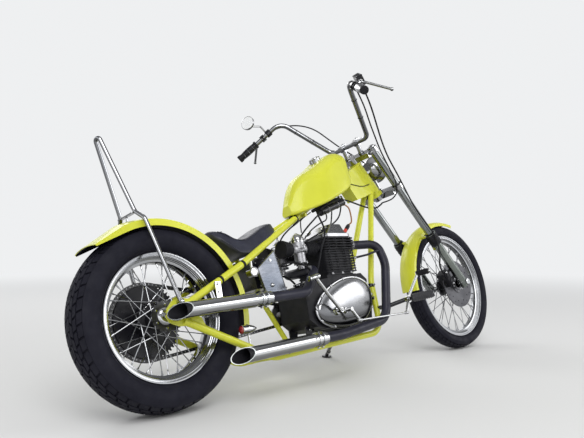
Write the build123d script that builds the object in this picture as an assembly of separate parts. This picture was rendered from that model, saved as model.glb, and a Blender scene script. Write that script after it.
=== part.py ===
from build123d import *
import math
import os

# A rigid-framed chopper with a parallel twin engine, parked on its side stand.
# The machine is modelled upright and then leaned: +X forward, +Y left, +Z up, millimetres,
# with x = 0 and z = 0 on the ground line under the rear axle.

# Stance
WHEELBASE = 1841.0
LEAN = 14.57
RAKE = 37.6

# Wheels
REAR_TYRE_R = 330.0
REAR_TYRE_W = 156.0
REAR_RIM_R = 232.0
REAR_RIM_W = 98.0
FRONT_TYRE_R = 342.0
FRONT_TYRE_W = 90.0
FRONT_RIM_R = 280.5
FRONT_RIM_W = 62.0
RIM_WALL = 3.2
FLANGE_H = 13.0
SPOKE_W = 4.0
SPOKE_COUNT = 40
REAR_AXLE_R = 8.5
FRONT_AXLE_R = 8.5
AXLE_BORE_R = 4.0
WHEEL_BORE_GAP = 0.05
RUN_GAP = 0.3

# Frame tubes
TUBE_R = 14.0
BACKBONE_R = 19.0
STAY_Y = 114.0
RAIL_Y = 112.0
RAIL_REAR = (430.0, 125.0)
RAIL_FRONT = (1010.0, 152.0)
DOWNTUBE_LOW = (1106.0, 388.0)
DOWNTUBE_LOW_Y = 76.0
DOWNTUBE_TOP_T = 735.0
DOWNTUBE_TOP_Y = 22.0
BACKBONE_REAR = (753.0, 709.0)
AXLE_PLATE_T = 8.0
TUNNEL_R = 35.0

# Steering and fork, measured up the steering axis from its foot, behind and below the front axle
AXIS_FOOT_BACK = 41.04
AXIS_FOOT_DROP = 31.52
HEAD_R = 27.0
STEM_R = 13.0
FORK_Y = 108.0
FORK_OFFSET = 46.0
FORK_TUBE_R = 20.5
FORK_TOP_T = 926.0
SLIDER_R = 23.5
SLIDER_TOP_T = 300.0
SLIDER_LOW_T = -16.0
COLLAR_R = 29.0
COLLAR_TOP_T = 349.0
UPPER_CLAMP_T = 905.0
LOWER_CLAMP_T = 668.0
CLAMP_H = 26.0
BAR_R = 12.7

# Mudguards
GUARD_GAP = 18.0
GUARD_HALF_W = 81.0
GUARD_SKIRT = 25.0
GUARD_RISE = 14.0
GUARD_WALL = 2.5
GUARD_START = -13.0
GUARD_END = 112.0
GUARD_TAIL = 134.0
FRONT_GUARD_GAP = 8.0
FRONT_GUARD_HALF_W = 48.0
FRONT_GUARD_SKIRT = 16.0
FRONT_GUARD_START = 74.0
FRONT_GUARD_END = 182.0

# Drive
CHAIN_Y = 90.0
SPROCKET_TEETH = 56
CHAIN_PITCH = 15.875
ENGINE_SPROCKET = (655.0, 300.0)
ENGINE_SPROCKET_TEETH = 17

# Exhaust
HEADER_R = 20.5
MUFFLER_R = 28.0
MUFFLER_WALL = 2.0
MUFFLER_Y = 166.0

# Worked out from the sizes above
lean_rad = math.radians(LEAN)
rake_rad = math.radians(RAKE)
rear_axle = Vector(0, 0, REAR_TYRE_R)
front_axle = Vector(WHEELBASE, 0, FRONT_TYRE_R)
axis_up = Vector(-math.sin(rake_rad), 0, math.cos(rake_rad))
axis_fwd = Vector(math.cos(rake_rad), 0, math.sin(rake_rad))
axis_foot = front_axle - Vector(AXIS_FOOT_BACK, 0, AXIS_FOOT_DROP)
guard_r = REAR_TYRE_R + GUARD_GAP
guard_crest_z = REAR_TYRE_R + guard_r + GUARD_RISE
sprocket_r = CHAIN_PITCH / 2 / math.sin(math.pi / SPROCKET_TEETH)
engine_sprocket_r = CHAIN_PITCH / 2 / math.sin(math.pi / ENGINE_SPROCKET_TEETH)
head_low_t = LOWER_CLAMP_T + CLAMP_H / 2 + RUN_GAP
head_top_t = UPPER_CLAMP_T - CLAMP_H / 2 - RUN_GAP
rail_slope = (RAIL_FRONT[1] - RAIL_REAR[1]) / (RAIL_FRONT[0] - RAIL_REAR[0])


def rail_z(x):
    """Height of the lower rail's centre line at x."""
    return RAIL_REAR[1] + rail_slope * (x - RAIL_REAR[0])


def ground_z(x, y):
    """Height, in the upright machine, of the ground that it leans on."""
    rear_drop = crown_radius(REAR_TYRE_R, REAR_TYRE_W, REAR_RIM_R) * (1 - math.cos(lean_rad))
    front_drop = crown_radius(FRONT_TYRE_R, FRONT_TYRE_W, FRONT_RIM_R) * (1 - math.cos(lean_rad))
    drop = rear_drop + (front_drop - rear_drop) * x / WHEELBASE
    return y * math.tan(lean_rad) - drop / math.cos(lean_rad)


def crown(outer_r, width, rim_r):
    """Half width and radius at the tread's shoulder."""
    return width * 0.43, outer_r - 0.16 * (outer_r - rim_r) - 4


def crown_radius(outer_r, width, rim_r):
    """Radius of the arc across the tread."""
    half, shoulder_r = crown(outer_r, width, rim_r)
    sag = outer_r - shoulder_r
    return (half ** 2 + sag ** 2) / (2 * sag)


def fork(t, e, y=0.0):
    """A point t up the steering axis, e forward of it and y to the left."""
    return axis_foot + axis_up * t + axis_fwd * e + Vector(0, y, 0)


def tube(points, radius, bends=None, bore=0.0):
    """A round tube along straight runs joined by tangent arcs."""
    points = [Vector(*p) if isinstance(p, tuple) else p for p in points]
    if len(points) == 2:
        path = Line(points[0], points[1])
    else:
        path = FilletPolyline(*points, radius=bends)
    section = Circle(radius) - Circle(bore) if bore else Circle(radius)
    plane = Plane(origin=path @ 0, z_dir=path % 0)
    return sweep(plane * section, path=path)


def rod(a, b, radius, bore=0.0):
    """A straight round bar from a to b."""
    a = Vector(*a) if isinstance(a, tuple) else a
    b = Vector(*b) if isinstance(b, tuple) else b
    plane = Plane(origin=a, z_dir=(b - a).normalized())
    section = Circle(radius) - Circle(bore) if bore else Circle(radius)
    return extrude(plane * section, (b - a).length)


def turned(profile, centre):
    """A closed profile of (y, r) points revolved about the wheel axis through centre."""
    outline = make_face(Polyline(*[(y, r) for y, r in profile], close=True))
    plane = Plane(origin=centre, x_dir=(0, 1, 0), z_dir=(1, 0, 0))
    return revolve(plane * outline, Axis(centre, (0, 1, 0)))


def side_plate(points, y_low, y_high):
    """A flat plate in the XZ plane, from its corner points, between two y values."""
    outline = make_face(Polyline(*points, close=True))
    plane = Plane(origin=(0, y_high, 0), x_dir=(1, 0, 0), z_dir=(0, -1, 0))
    return extrude(plane * outline, y_high - y_low)


def mirrored(shape):
    """The same shape on the other side of the machine."""
    return mirror(shape, about=Plane.XZ)


def group(*solids):
    """Several solids that keep apart, as one piece."""
    return Compound([s for item in solids for s in item.solids()])


# Wheels: tyre, rim, hub and spokes

def tyre(centre, outer_r, width, rim_r, rim_w):
    """A hollow tyre: crown, shoulders and side walls down to the rim's bead seats."""
    bead_y = rim_w / 2 - RIM_WALL - RUN_GAP
    bead_r = rim_r - FLANGE_H + RUN_GAP
    half = width / 2
    side_r = rim_r + 0.42 * (outer_r - rim_r)
    shoulder_y, shoulder_r = crown(outer_r, width, rim_r)
    tread = ThreePointArc((-shoulder_y, shoulder_r), (0, outer_r), (shoulder_y, shoulder_r))
    right = ThreePointArc((shoulder_y, shoulder_r), (half, side_r), (bead_y, rim_r + 2))
    left = ThreePointArc((-bead_y, rim_r + 2), (-half, side_r), (-shoulder_y, shoulder_r))
    wall = 9.0
    inner = ThreePointArc((-bead_y + wall, rim_r + 4), (0, outer_r - 14), (bead_y - wall, rim_r + 4))
    loop = [
        tread,
        right,
        Line((bead_y, rim_r + 2), (bead_y, bead_r)),
        Line((bead_y, bead_r), (bead_y - wall, bead_r)),
        Line((bead_y - wall, bead_r), (bead_y - wall, rim_r + 4)),
        inner,
        Line((-bead_y + wall, rim_r + 4), (-bead_y + wall, bead_r)),
        Line((-bead_y + wall, bead_r), (-bead_y, bead_r)),
        Line((-bead_y, bead_r), (-bead_y, rim_r + 2)),
        left,
    ]
    plane = Plane(origin=centre, x_dir=(0, 1, 0), z_dir=(1, 0, 0))
    return revolve(plane * make_face(loop), Axis(centre, (0, 1, 0)))


def rim(centre, rim_r, rim_w):
    """A rolled steel rim with side flanges and a drop centre."""
    half = rim_w / 2
    seat_r = rim_r - FLANGE_H
    well_r = seat_r - 16
    outside = [
        (half, rim_r),
        (half - RIM_WALL, rim_r),
        (half - RIM_WALL, seat_r),
        (half * 0.62, seat_r - 2),
        (half * 0.40, well_r),
    ]
    inside = [
        (half * 0.40, well_r - RIM_WALL),
        (half * 0.66, seat_r - 2 - RIM_WALL),
        (half, seat_r - RIM_WALL),
    ]
    loop = outside + [(-y, r) for y, r in reversed(outside)]
    loop += [(-y, r) for y, r in reversed(inside)] + inside
    return turned(loop, centre)


def hub(centre, barrel_r, right_y, left_y, flange_r, bore_r):
    """A wheel hub: barrel, two spoke flanges and the bearing bosses."""
    boss_r = barrel_r * 0.75
    profile = [
        (right_y - 14, bore_r),
        (right_y - 14, boss_r),
        (right_y - 4, boss_r),
        (right_y - 4, flange_r),
        (right_y + 3, flange_r),
        (right_y + 9, barrel_r),
        (left_y - 9, barrel_r),
        (left_y - 3, flange_r),
        (left_y + 4, flange_r),
        (left_y + 4, boss_r),
        (left_y + 12, boss_r),
        (left_y + 12, bore_r),
    ]
    return turned(profile, centre)


def spokes(centre, hub_r, right_y, left_y, rim_inner_r, count):
    """Crossed spokes as slim square bars, from each hub flange to the rim's well."""
    bars = []
    swing = math.radians(62)
    for index in range(count):
        flange_y = right_y if index % 2 else left_y
        side = 1 if (index // 2) % 2 else -1
        rim_angle = 2 * math.pi * (index + 0.5) / count
        hub_angle = rim_angle + side * swing
        outboard = 3.0 if side > 0 else -3.0
        start_y = flange_y + outboard
        end_y = 7.0 if flange_y > 0 else -7.0
        start = centre + Vector(math.cos(hub_angle) * hub_r, start_y, math.sin(hub_angle) * hub_r)
        end = centre + Vector(math.cos(rim_angle) * rim_inner_r, end_y, math.sin(rim_angle) * rim_inner_r)
        plane = Plane(origin=start, x_dir=(0, 1, 0), z_dir=(end - start).normalized())
        bars.append(extrude(plane * Rectangle(SPOKE_W, SPOKE_W), (end - start).length))
    return group(*bars)


REAR_HUB_RIGHT = -46.0
REAR_HUB_LEFT = 44.0
REAR_FLANGE_R = 52.0
FRONT_HUB_RIGHT = -34.0
FRONT_HUB_LEFT = 34.0
FRONT_FLANGE_R = 46.0


def rear_wheel():
    rim_inner = REAR_RIM_R - FLANGE_H - 16 - RIM_WALL
    right_y = REAR_HUB_RIGHT
    left_y = REAR_HUB_LEFT
    yield "rear_tyre", tyre(rear_axle, REAR_TYRE_R, REAR_TYRE_W, REAR_RIM_R, REAR_RIM_W)
    bore = REAR_AXLE_R + WHEEL_BORE_GAP
    yield "rear_hub", hub(rear_axle, 34.0, right_y, left_y, REAR_FLANGE_R, bore)
    hub_end = REAR_FLANGE_R + SPOKE_W / 2 + RUN_GAP
    bars = spokes(rear_axle, hub_end, right_y, left_y, rim_inner - 0.9, SPOKE_COUNT)
    yield "rear_rim_and_spokes", group(rim(rear_axle, REAR_RIM_R, REAR_RIM_W), bars)
    yield "rear_sprocket", rear_sprocket()


def rear_sprocket():
    """A flat toothed plate on a carrier that bolts to the hub's left face."""
    thickness = 7.0
    root_r = sprocket_r - 5.0
    tip_r = sprocket_r + 4.7
    step = 2 * math.pi / SPROCKET_TEETH
    points = []
    for tooth in range(SPROCKET_TEETH):
        base = step * tooth
        points.append((root_r * math.cos(base - 0.30 * step), root_r * math.sin(base - 0.30 * step)))
        points.append((tip_r * math.cos(base - 0.09 * step), tip_r * math.sin(base - 0.09 * step)))
        points.append((tip_r * math.cos(base + 0.09 * step), tip_r * math.sin(base + 0.09 * step)))
        points.append((root_r * math.cos(base + 0.30 * step), root_r * math.sin(base + 0.30 * step)))
    outline = make_face(Polyline(*points, close=True)) - Circle(36.0)
    plane = Plane(origin=rear_axle + Vector(0, CHAIN_Y + thickness / 2, 0), x_dir=(1, 0, 0), z_dir=(0, -1, 0))
    plate = extrude(plane * outline, thickness)
    carrier = [
        (REAR_HUB_LEFT + 4 + RUN_GAP, 30.0),
        (REAR_HUB_LEFT + 4 + RUN_GAP, 50.0),
        (CHAIN_Y - thickness / 2, 62.0),
        (CHAIN_Y + thickness / 2 + 4, 62.0),
        (CHAIN_Y + thickness / 2 + 4, 30.0),
    ]
    return plate + turned(carrier, rear_axle)


def front_wheel():
    rim_inner = FRONT_RIM_R - FLANGE_H - 16 - RIM_WALL
    right_y = FRONT_HUB_RIGHT
    left_y = FRONT_HUB_LEFT
    yield "front_tyre", tyre(front_axle, FRONT_TYRE_R, FRONT_TYRE_W, FRONT_RIM_R, FRONT_RIM_W)
    bore = FRONT_AXLE_R + WHEEL_BORE_GAP
    yield "front_hub", hub(front_axle, 27.0, right_y, left_y, FRONT_FLANGE_R, bore)
    hub_end = FRONT_FLANGE_R + SPOKE_W / 2 + RUN_GAP
    bars = spokes(front_axle, hub_end, right_y, left_y, rim_inner - 0.9, SPOKE_COUNT)
    yield "front_rim_and_spokes", group(rim(front_axle, FRONT_RIM_R, FRONT_RIM_W), bars)
    yield "front_brake_disc", front_disc()


DISC_R = 128.0
DISC_Y = -64.0
DISC_T = 5.0


def front_disc():
    """A drilled brake disc on its carrier, bolted to the hub's right face."""
    plane = Plane(origin=front_axle + Vector(0, DISC_Y + DISC_T / 2, 0), x_dir=(1, 0, 0), z_dir=(0, -1, 0))
    blank = Circle(DISC_R) - Circle(34.0)
    for index in range(12):
        for ring_r, turn in ((112.0, 0.0), (96.0, 15.0)):
            angle = math.radians(30 * index + turn)
            blank -= Pos(ring_r * math.cos(angle), ring_r * math.sin(angle)) * Circle(4.0)
    disc = extrude(plane * blank, DISC_T)
    carrier = [
        (FRONT_HUB_RIGHT - 4 - RUN_GAP, 24.0),
        (FRONT_HUB_RIGHT - 4 - RUN_GAP, 44.0),
        (DISC_Y + DISC_T / 2, 52.0),
        (DISC_Y - DISC_T / 2 - 3, 52.0),
        (DISC_Y - DISC_T / 2 - 3, 24.0),
    ]
    return disc + turned(carrier, front_axle)


# Frame

STAY_BENDS = [400.0, 400.0]
STAY_FOOT_RISE = 16.0
RAIL_FOOT_DROP = 28.0


def stay_points():
    """Centre line of the right-hand seat stay, from the axle plate to the backbone."""
    foot = Vector(30, -STAY_Y, REAR_TYRE_R + STAY_FOOT_RISE)
    top = Vector(BACKBONE_REAR[0] - 14, -BACKBONE_R, BACKBONE_REAR[1] - 3)
    return [foot, Vector(332, -113, 494), Vector(595, -53, 633), top]


def frame_side():
    """The right-hand tubes, which are mirrored for the left."""
    stay = tube(stay_points(), TUBE_R, STAY_BENDS)
    down_top = fork(DOWNTUBE_TOP_T, -HEAD_R - 22, -DOWNTUBE_TOP_Y)
    down_low = Vector(DOWNTUBE_LOW[0], -DOWNTUBE_LOW_Y, DOWNTUBE_LOW[1])
    split_x = RAIL_FRONT[0] - 160
    rail_front = Vector(RAIL_FRONT[0] + 55, -RAIL_Y, rail_z(RAIL_FRONT[0] + 55))
    rail_split = Vector(split_x, -RAIL_Y, rail_z(split_x))
    rail_rear = Vector(RAIL_REAR[0] - 20, -RAIL_Y, rail_z(RAIL_REAR[0] - 20))
    rail_end = Vector(30, -STAY_Y, REAR_TYRE_R - RAIL_FOOT_DROP)
    downtube = tube([down_top, down_low, rail_front, rail_split], TUBE_R, [260.0, 85.0])
    rail = tube([rail_split, rail_rear, rail_end], TUBE_R, [120.0])
    return stay, downtube, rail


def axle_plate():
    """Right-hand axle plate, with the slot the axle is adjusted in."""
    outline = [
        (-38, -8), (-30, 18), (-6, 44), (30, 50), (74, 44), (92, 34), (50, -4), (104, -24), (118, -56),
        (70, -50), (10, -46), (-26, -30),
    ]
    y_low = -STAY_Y - AXLE_PLATE_T / 2
    plate = side_plate([(x, REAR_TYRE_R + rise) for x, rise in outline], y_low, y_low + AXLE_PLATE_T)
    slot = Plane(origin=(4, 0, REAR_TYRE_R), x_dir=(1, 0, 0), z_dir=(0, -1, 0)) * SlotOverall(46, 2 * REAR_AXLE_R + 0.6)
    return plate - extrude(slot, 200)


def frame_pieces():
    head = rod(fork(head_low_t, 0), fork(head_top_t, 0), HEAD_R, STEM_R + WHEEL_BORE_GAP)
    for t in (head_low_t, head_top_t - 14):
        head += rod(fork(t, 0), fork(t + 14, 0), HEAD_R + 5, STEM_R + WHEEL_BORE_GAP)
    yield "steering_head", head
    backbone_front = fork(820, -HEAD_R + 2)
    backbone = tube([(BACKBONE_REAR[0], 0, BACKBONE_REAR[1]), (1000, 0, 862), backbone_front], BACKBONE_R, [300.0])
    stay, downtube, rail = frame_side()
    plate = axle_plate()
    head_space = rod(fork(head_low_t - 40, 0), fork(head_top_t + 40, 0), HEAD_R + 5.0)
    backbone -= head_space
    for x, z in ((800, 723), (1040, 870)):
        backbone += rod((x, RUN_GAP - TUNNEL_R, z), (x, TUNNEL_R - RUN_GAP, z), 8.0)
    yield "backbone_tube", backbone
    gusset = neck_gusset() - head_space - backbone
    yield "neck_gusset", gusset
    stay = biggest(stay - backbone - plate)
    downtube = biggest(downtube - gusset - head_space)
    rail = rail + plate
    stays = pair(stay)
    downtubes = pair(downtube)
    rails = pair(rail)
    yield "seat_stays", stays
    yield "downtubes", downtubes
    yield "lower_rails", rails
    crossed = cross_tubes(stay, rail, downtube)
    yield "frame_cross_tubes", crossed
    yield "rear_mudguard", less(rear_mudguard(), stays)
    yield "horn", less(horn(), stays)
    yield "tail_lamp", less(tail_lamp(), rails)
    yield "battery_box", less(battery_box(), crossed)
    yield "side_panel", less(side_panel(), crossed)
    yield "footpegs", group(*[less(bar, downtubes) for bar in footpegs()])
    yield "sissy_bar", less(sissy_bar(), rails)
    yield "muffler_upper", less(muffler_upper(), stays)
    yield "muffler_lower", less(muffler_lower(), rails)
    yield "ignition_coil", less(ignition_coil(), backbone)
    yield from engine(crossed, downtubes)


def biggest(shape):
    """The largest solid of a cut shape, without the slivers beyond the cut."""
    return max(shape.solids(), key=lambda s: s.volume)


def less(shape, other):
    """The largest solid left when each solid of another piece is cut away."""
    for solid in other.solids():
        shape = shape - solid
    return biggest(shape)


def pair(shape):
    """A right-hand piece and its mirror image on the left."""
    return group(shape, mirrored(shape))


SEAT_TUBE = Vector(500, 0, 578)


def cross_tubes(stay, rail, downtube):
    """Tubes across the frame, and the two posts between them that stand behind the engine."""
    sides = [stay, rail, downtube, mirrored(stay), mirrored(rail), mirrored(downtube)]
    post = tube([(452, -78, 550), (664, -58, rail_z(664))], 11.0)
    low = rod((664, -RAIL_Y, rail_z(664)), (664, RAIL_Y, rail_z(664)), 11.0)
    spans = [
        rod((470, -RAIL_Y, rail_z(470)), (470, RAIL_Y, rail_z(470)), 11.0),
        rod((985, -RAIL_Y, rail_z(985)), (985, RAIL_Y, rail_z(985)), 11.0),
        rod(SEAT_TUBE - Vector(0, 62, 0), SEAT_TUBE + Vector(0, 62, 0), 11.0),
        low + post + mirrored(post),
    ]
    cut = []
    for span in spans:
        for side in sides:
            span = span - side
        cut.append(biggest(span))
    return group(*cut)


def neck_gusset():
    """Box gusset behind the steering head, over the tops of the two front tubes."""
    outline = [fork(t, e) for t, e in ((888, -20), (716, -20), (748, -122), (772, -186), (838, -182), (905, -112))]
    return side_plate([(p.X, p.Z) for p in outline], -34, 34)


# Bodywork

def guard_section(half_w, wall, skirt, rise):
    """Cross-section of a mudguard: crowned top with two side skirts, open underneath."""
    outer = [
        Line((-half_w, -skirt), (-half_w, 0)),
        ThreePointArc((-half_w, 0), (0, rise), (half_w, 0)),
        Line((half_w, 0), (half_w, -skirt)),
        Line((half_w, -skirt), (half_w - wall, -skirt)),
        Line((half_w - wall, -skirt), (half_w - wall, -wall)),
        ThreePointArc((half_w - wall, -wall), (0, rise - wall), (-half_w + wall, -wall)),
        Line((-half_w + wall, -wall), (-half_w + wall, -skirt)),
        Line((-half_w + wall, -skirt), (-half_w, -skirt)),
    ]
    return make_face(outer)


def guard_plane(centre, radius, angle):
    """Plane square to a guard's arc, with its Y axis pointing out from the wheel."""
    outward = Vector(math.cos(math.radians(angle)), 0, math.sin(math.radians(angle)))
    return Plane(origin=centre + outward * radius, x_dir=(0, -1, 0), z_dir=Vector(0, 1, 0).cross(outward) * -1)


def guard_arc(centre, radius, start, end):
    points = [guard_plane(centre, radius, angle).origin for angle in (start, (start + end) / 2, end)]
    return ThreePointArc(*points)


def rear_mudguard():
    """Wide guard over the rear wheel, with a tail that flattens out behind."""
    section = guard_section(GUARD_HALF_W, GUARD_WALL, GUARD_SKIRT, GUARD_RISE)
    plane = guard_plane(rear_axle, guard_r, GUARD_START)
    guard = sweep(plane * section, path=guard_arc(rear_axle, guard_r, GUARD_START, GUARD_END))
    tail_section = guard_section(GUARD_HALF_W, GUARD_WALL, 8.0, 9.0)
    tail_start = guard_plane(rear_axle, guard_r, GUARD_END) * section
    guard += loft([tail_start, guard_plane(rear_axle, guard_r + 7, GUARD_TAIL) * tail_section])
    mount_x = 310.0
    mount_z = REAR_TYRE_R + math.sqrt((guard_r - 5) ** 2 - mount_x ** 2)
    for side in (-1, 1):
        inner = (mount_x, side * (GUARD_HALF_W - 1), mount_z)
        guard += rod(inner, (mount_x, side * (STAY_Y - 6), mount_z), 8.0)
    return guard


SISSY_R = 8.0


def sissy_bar():
    """Tall passenger loop, kinked in over the guard and bolted to the axle plates."""
    y_foot = STAY_Y + TUBE_R + SISSY_R + RUN_GAP
    foot_z = REAR_TYRE_R + 36
    waist_y = GUARD_HALF_W + SISSY_R + 6
    leg = [
        (16, -y_foot, foot_z), (-59, -waist_y, guard_crest_z - 15), (-71, -54, guard_crest_z + 20),
        (-156, -15, guard_crest_z + 308),
    ]
    points = leg + [(x, -y, z) for x, y, z in reversed(leg)]
    bar = tube(points, SISSY_R, [26.0, 26.0, 14.0, 14.0, 26.0, 26.0])
    strip = Plane(origin=(-74, 0, guard_crest_z + 15), x_dir=(1, 0, 0.2), z_dir=(-0.2, 0, 1))
    bar += strip * Box(22, 104, 5)
    slope = math.asin(74 / (guard_r + GUARD_RISE))
    seat_z = REAR_TYRE_R + (guard_r + GUARD_RISE) * math.cos(slope) + RUN_GAP
    bar += rod((-74, 0, seat_z + 2), (-74, 0, guard_crest_z + 14), 6.0)
    for side in (-1, 1):
        bar += rod((16, side * y_foot, foot_z), (16, side * (STAY_Y + AXLE_PLATE_T / 2), foot_z), 7.0)
    return bar


def seat():
    """One-piece saddle with a raised back and a nose that climbs towards the tank."""
    rows = [
        # x, half width at the foot, half width at the top, foot z, top z
        (254, 50, 36, 612, 650),
        (300, 78, 58, 570, 632),
        (350, 90, 66, 522, 606),
        (405, 92, 70, 528, 610),
        (480, 84, 64, 566, 646),
        (540, 74, 54, 600, 670),
        (586, 60, 42, 628, 682),
    ]
    sections = []
    for x, foot, top, z_low, z_high in rows:
        outline = make_face(Polyline((-foot, z_low), (foot, z_low), (top, z_high), (-top, z_high), close=True))
        outline = fillet(outline.vertices(), 0.3 * (z_high - z_low))
        plane = Plane(origin=(x, 0, 0), x_dir=(0, 1, 0), z_dir=(1, 0, 0))
        sections.append(plane * outline)
    body = loft(sections)
    over_guard = guard_r + GUARD_RISE + RUN_GAP
    beside_guard = Vector(0, GUARD_HALF_W + RUN_GAP, 0)
    body -= rod(rear_axle - beside_guard, rear_axle + beside_guard, over_guard)
    groove = tube(stay_points(), TUBE_R + RUN_GAP, STAY_BENDS)
    across = rod(SEAT_TUBE - Vector(0, 120, 0), SEAT_TUBE + Vector(0, 120, 0), 11.0 + RUN_GAP)
    return biggest(body - groove - mirrored(groove) - across)


def fuel_tank():
    """Tall-shouldered tank, deep at the front and tapering to the seat, over the backbone."""
    rows = [
        # x, half width low, half width at the shoulder, bottom z, top z, shoulder radius
        (716, 36, 20, 722, 768, 16),
        (738, 54, 28, 722, 812, 27),
        (780, 73, 39, 732, 882, 38),
        (830, 89, 60, 746, 922, 54),
        (960, 114, 96, 796, 1000, 66),
        (1052, 110, 92, 842, 1036, 62),
        (1094, 84, 70, 900, 1028, 44),
    ]
    sections = []
    for x, low, high, z_low, z_high, shoulder in rows:
        outline = make_face(Polyline((-low, z_low), (low, z_low), (high, z_high), (-high, z_high), close=True))
        corners = outline.vertices().sort_by(Axis.Y)
        outline = fillet(corners[:2], min(14.0, 0.3 * (z_high - z_low)))
        corners = outline.vertices().sort_by(Axis.Y)
        outline = fillet(corners[-2:], shoulder)
        plane = Plane(origin=(x, 0, 0), x_dir=(0, 1, 0), z_dir=(1, 0, 0))
        sections.append(plane * outline)
    body = loft(sections)
    tunnel = tube([(560, 0, 594), (BACKBONE_REAR[0], 0, BACKBONE_REAR[1] - 8), (1000, 0, 858), (1240, 0, 988)],
                  TUNNEL_R, [200.0, 200.0])
    under = side_plate([
        (560, 594), (BACKBONE_REAR[0], BACKBONE_REAR[1] - 8), (1000, 858), (1240, 988), (1240, 500), (560, 500),
    ], -TUNNEL_R, TUNNEL_R)
    return biggest(body - tunnel - under)


# Engine

ENGINE_X = 900.0
CASE_HALF_W = 105.0
PORT_Z = 570.0
INTAKE_Z = 556.0
EXHAUST_X = ENGINE_X + 122.0
INTAKE_X = ENGINE_X - 118.0


def fins(z_low, z_high, count, x_low, x_high, half_w, thickness):
    """A stack of level cooling fins with rounded corners."""
    stack = []
    step = (z_high - z_low - thickness) / (count - 1)
    for index in range(count):
        z = z_low + index * step
        sheet = RectangleRounded(x_high - x_low, 2 * half_w, 22.0)
        plane = Plane(origin=((x_low + x_high) / 2, 0, z))
        stack.append(extrude(plane * sheet, thickness))
    return stack


def engine(crossed, downtubes):
    case = side_plate(
        [(724, 204), (724, 408), (760, 414), (1010, 430), (1044, 400), (1050, 300), (1030, 222), (980, 200)],
        -CASE_HALF_W, CASE_HALF_W)
    case += side_plate([(640, 250), (640, 360), (700, 405), (730, 408), (730, 204), (680, 216)], -CASE_HALF_W, 72)
    sump = side_plate([(800, 208), (960, 208), (940, 182), (820, 182)], -70, 70)
    case = case + sump
    yield "crankcase", case
    yield "engine_mounts", engine_mounts(case, crossed, downtubes)
    base = extrude(Plane(origin=(ENGINE_X - 6, 0, 431)) * RectangleRounded(170, 200, 20), 111)
    base += side_plate([(800, 431), (990, 431), (990, 426), (960, 424.6), (800, 417.2)], -95, 95)
    base = base - case
    for fin in fins(442, 540, 9, ENGINE_X - 92, ENGINE_X + 100, 108, 3.5):
        base += fin
    yield "cylinder_block", base
    head = extrude(Plane(origin=(ENGINE_X, 0, 542.3)) * RectangleRounded(165, 190, 20), 62)
    for fin in fins(546, 598, 5, ENGINE_X - 86, ENGINE_X + 110, 110, 3.5):
        head += fin
    for y in (-62, 62):
        head += rod((ENGINE_X + 60, y, PORT_Z), (EXHAUST_X, y, PORT_Z), 25.0)
        head += rod((ENGINE_X - 60, y, INTAKE_Z + 4), (INTAKE_X, y, INTAKE_Z + 4), 17.0)
    yield "cylinder_head", head
    cover = extrude(Plane(origin=(ENGINE_X + 10, 0, 604.6)) * RectangleRounded(176, 208, 24), 14)
    cover += loft([
        Plane(origin=(ENGINE_X + 16, 0, 618.6)) * RectangleRounded(144, 190, 24),
        Plane(origin=(ENGINE_X + 34, 0, 668.0)) * RectangleRounded(84, 156, 20),
    ])
    yield "rocker_cover", cover
    cover = side_cover(-1, 36.0)
    yield "clutch_cover", cover
    yield "kick_lever", less(kick_lever(), cover)
    yield "brake_pedal", less(brake_pedal(), cover)
    left_cover = side_cover(1, 30.0)
    yield "alternator_cover", left_cover
    yield "gear_pedal", less(gear_pedal(), left_cover)


def engine_mounts(case, crossed, downtubes):
    """Plates that carry the engine at the front, below and behind, with the front mount's tube."""
    tube_across = rod((1084, -98, 310), (1084, 98, 310), 9.0)
    tube_across = less(tube_across, downtubes)
    mounts = [tube_across]
    outlines = [
        [(1030, 345), (1084, 322), (1096, 310), (1084, 298), (1030, 275)],
        [(962, 215), (1004, 215), (994, 150), (976, 150)],
        [(655, 225), (705, 225), (680, 138), (656, 138)],
    ]
    for outline in outlines:
        for y in (-54, 50):
            plate = side_plate(outline, y - 4, y + 4) - case - tube_across
            mounts.append(less(plate, crossed))
    return group(*mounts)


def side_cover(side, depth):
    """Polished egg-shaped cover on one side of the crankcase."""
    y_face = side * (CASE_HALF_W + RUN_GAP)
    plane = Plane(origin=(0, y_face, 0), x_dir=(1, 0, 0), z_dir=(0, side, 0))
    lift = -side
    big = (945, 318 * lift)
    small = (746, 282 * lift)

    def egg(shrink):
        a = Pos(*big) * Circle(92.0 - shrink)
        b = Pos(*small) * Circle(62.0 - shrink)
        return make_hull(a.edges() + b.edges())

    rim_part = extrude(plane * egg(0), 14)
    outer = plane.offset(14)
    inner = plane.offset(depth)
    dome = loft([outer * egg(2.0), inner * egg(26.0)])
    return rim_part + dome


CARB_X = 688.0
CARB_FRONT = CARB_X + 34.0
CARB_REAR = CARB_X - 42.0


def carburettors():
    """Twin carburettors with domed caps and float bowls, on their rubber stubs."""
    bodies = []
    for y in (-62, 62):
        body = rod((CARB_REAR, y, INTAKE_Z), (CARB_FRONT, y, INTAKE_Z), 24.0)
        body += rod((CARB_X, y, INTAKE_Z), (CARB_X, y, INTAKE_Z + 38), 30.0)
        body += rod((CARB_X, y, INTAKE_Z - 62), (CARB_X, y, INTAKE_Z), 25.0)
        body += rod((CARB_X, y, INTAKE_Z - 86), (CARB_X, y, INTAKE_Z - 62), 13.0)
        dome = Sphere(30.0) - Pos(0, 0, -30) * Box(80, 80, 60)
        body += Pos(CARB_X, y, INTAKE_Z + 38) * dome
        bodies.append(body)
    return group(*bodies)


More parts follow.
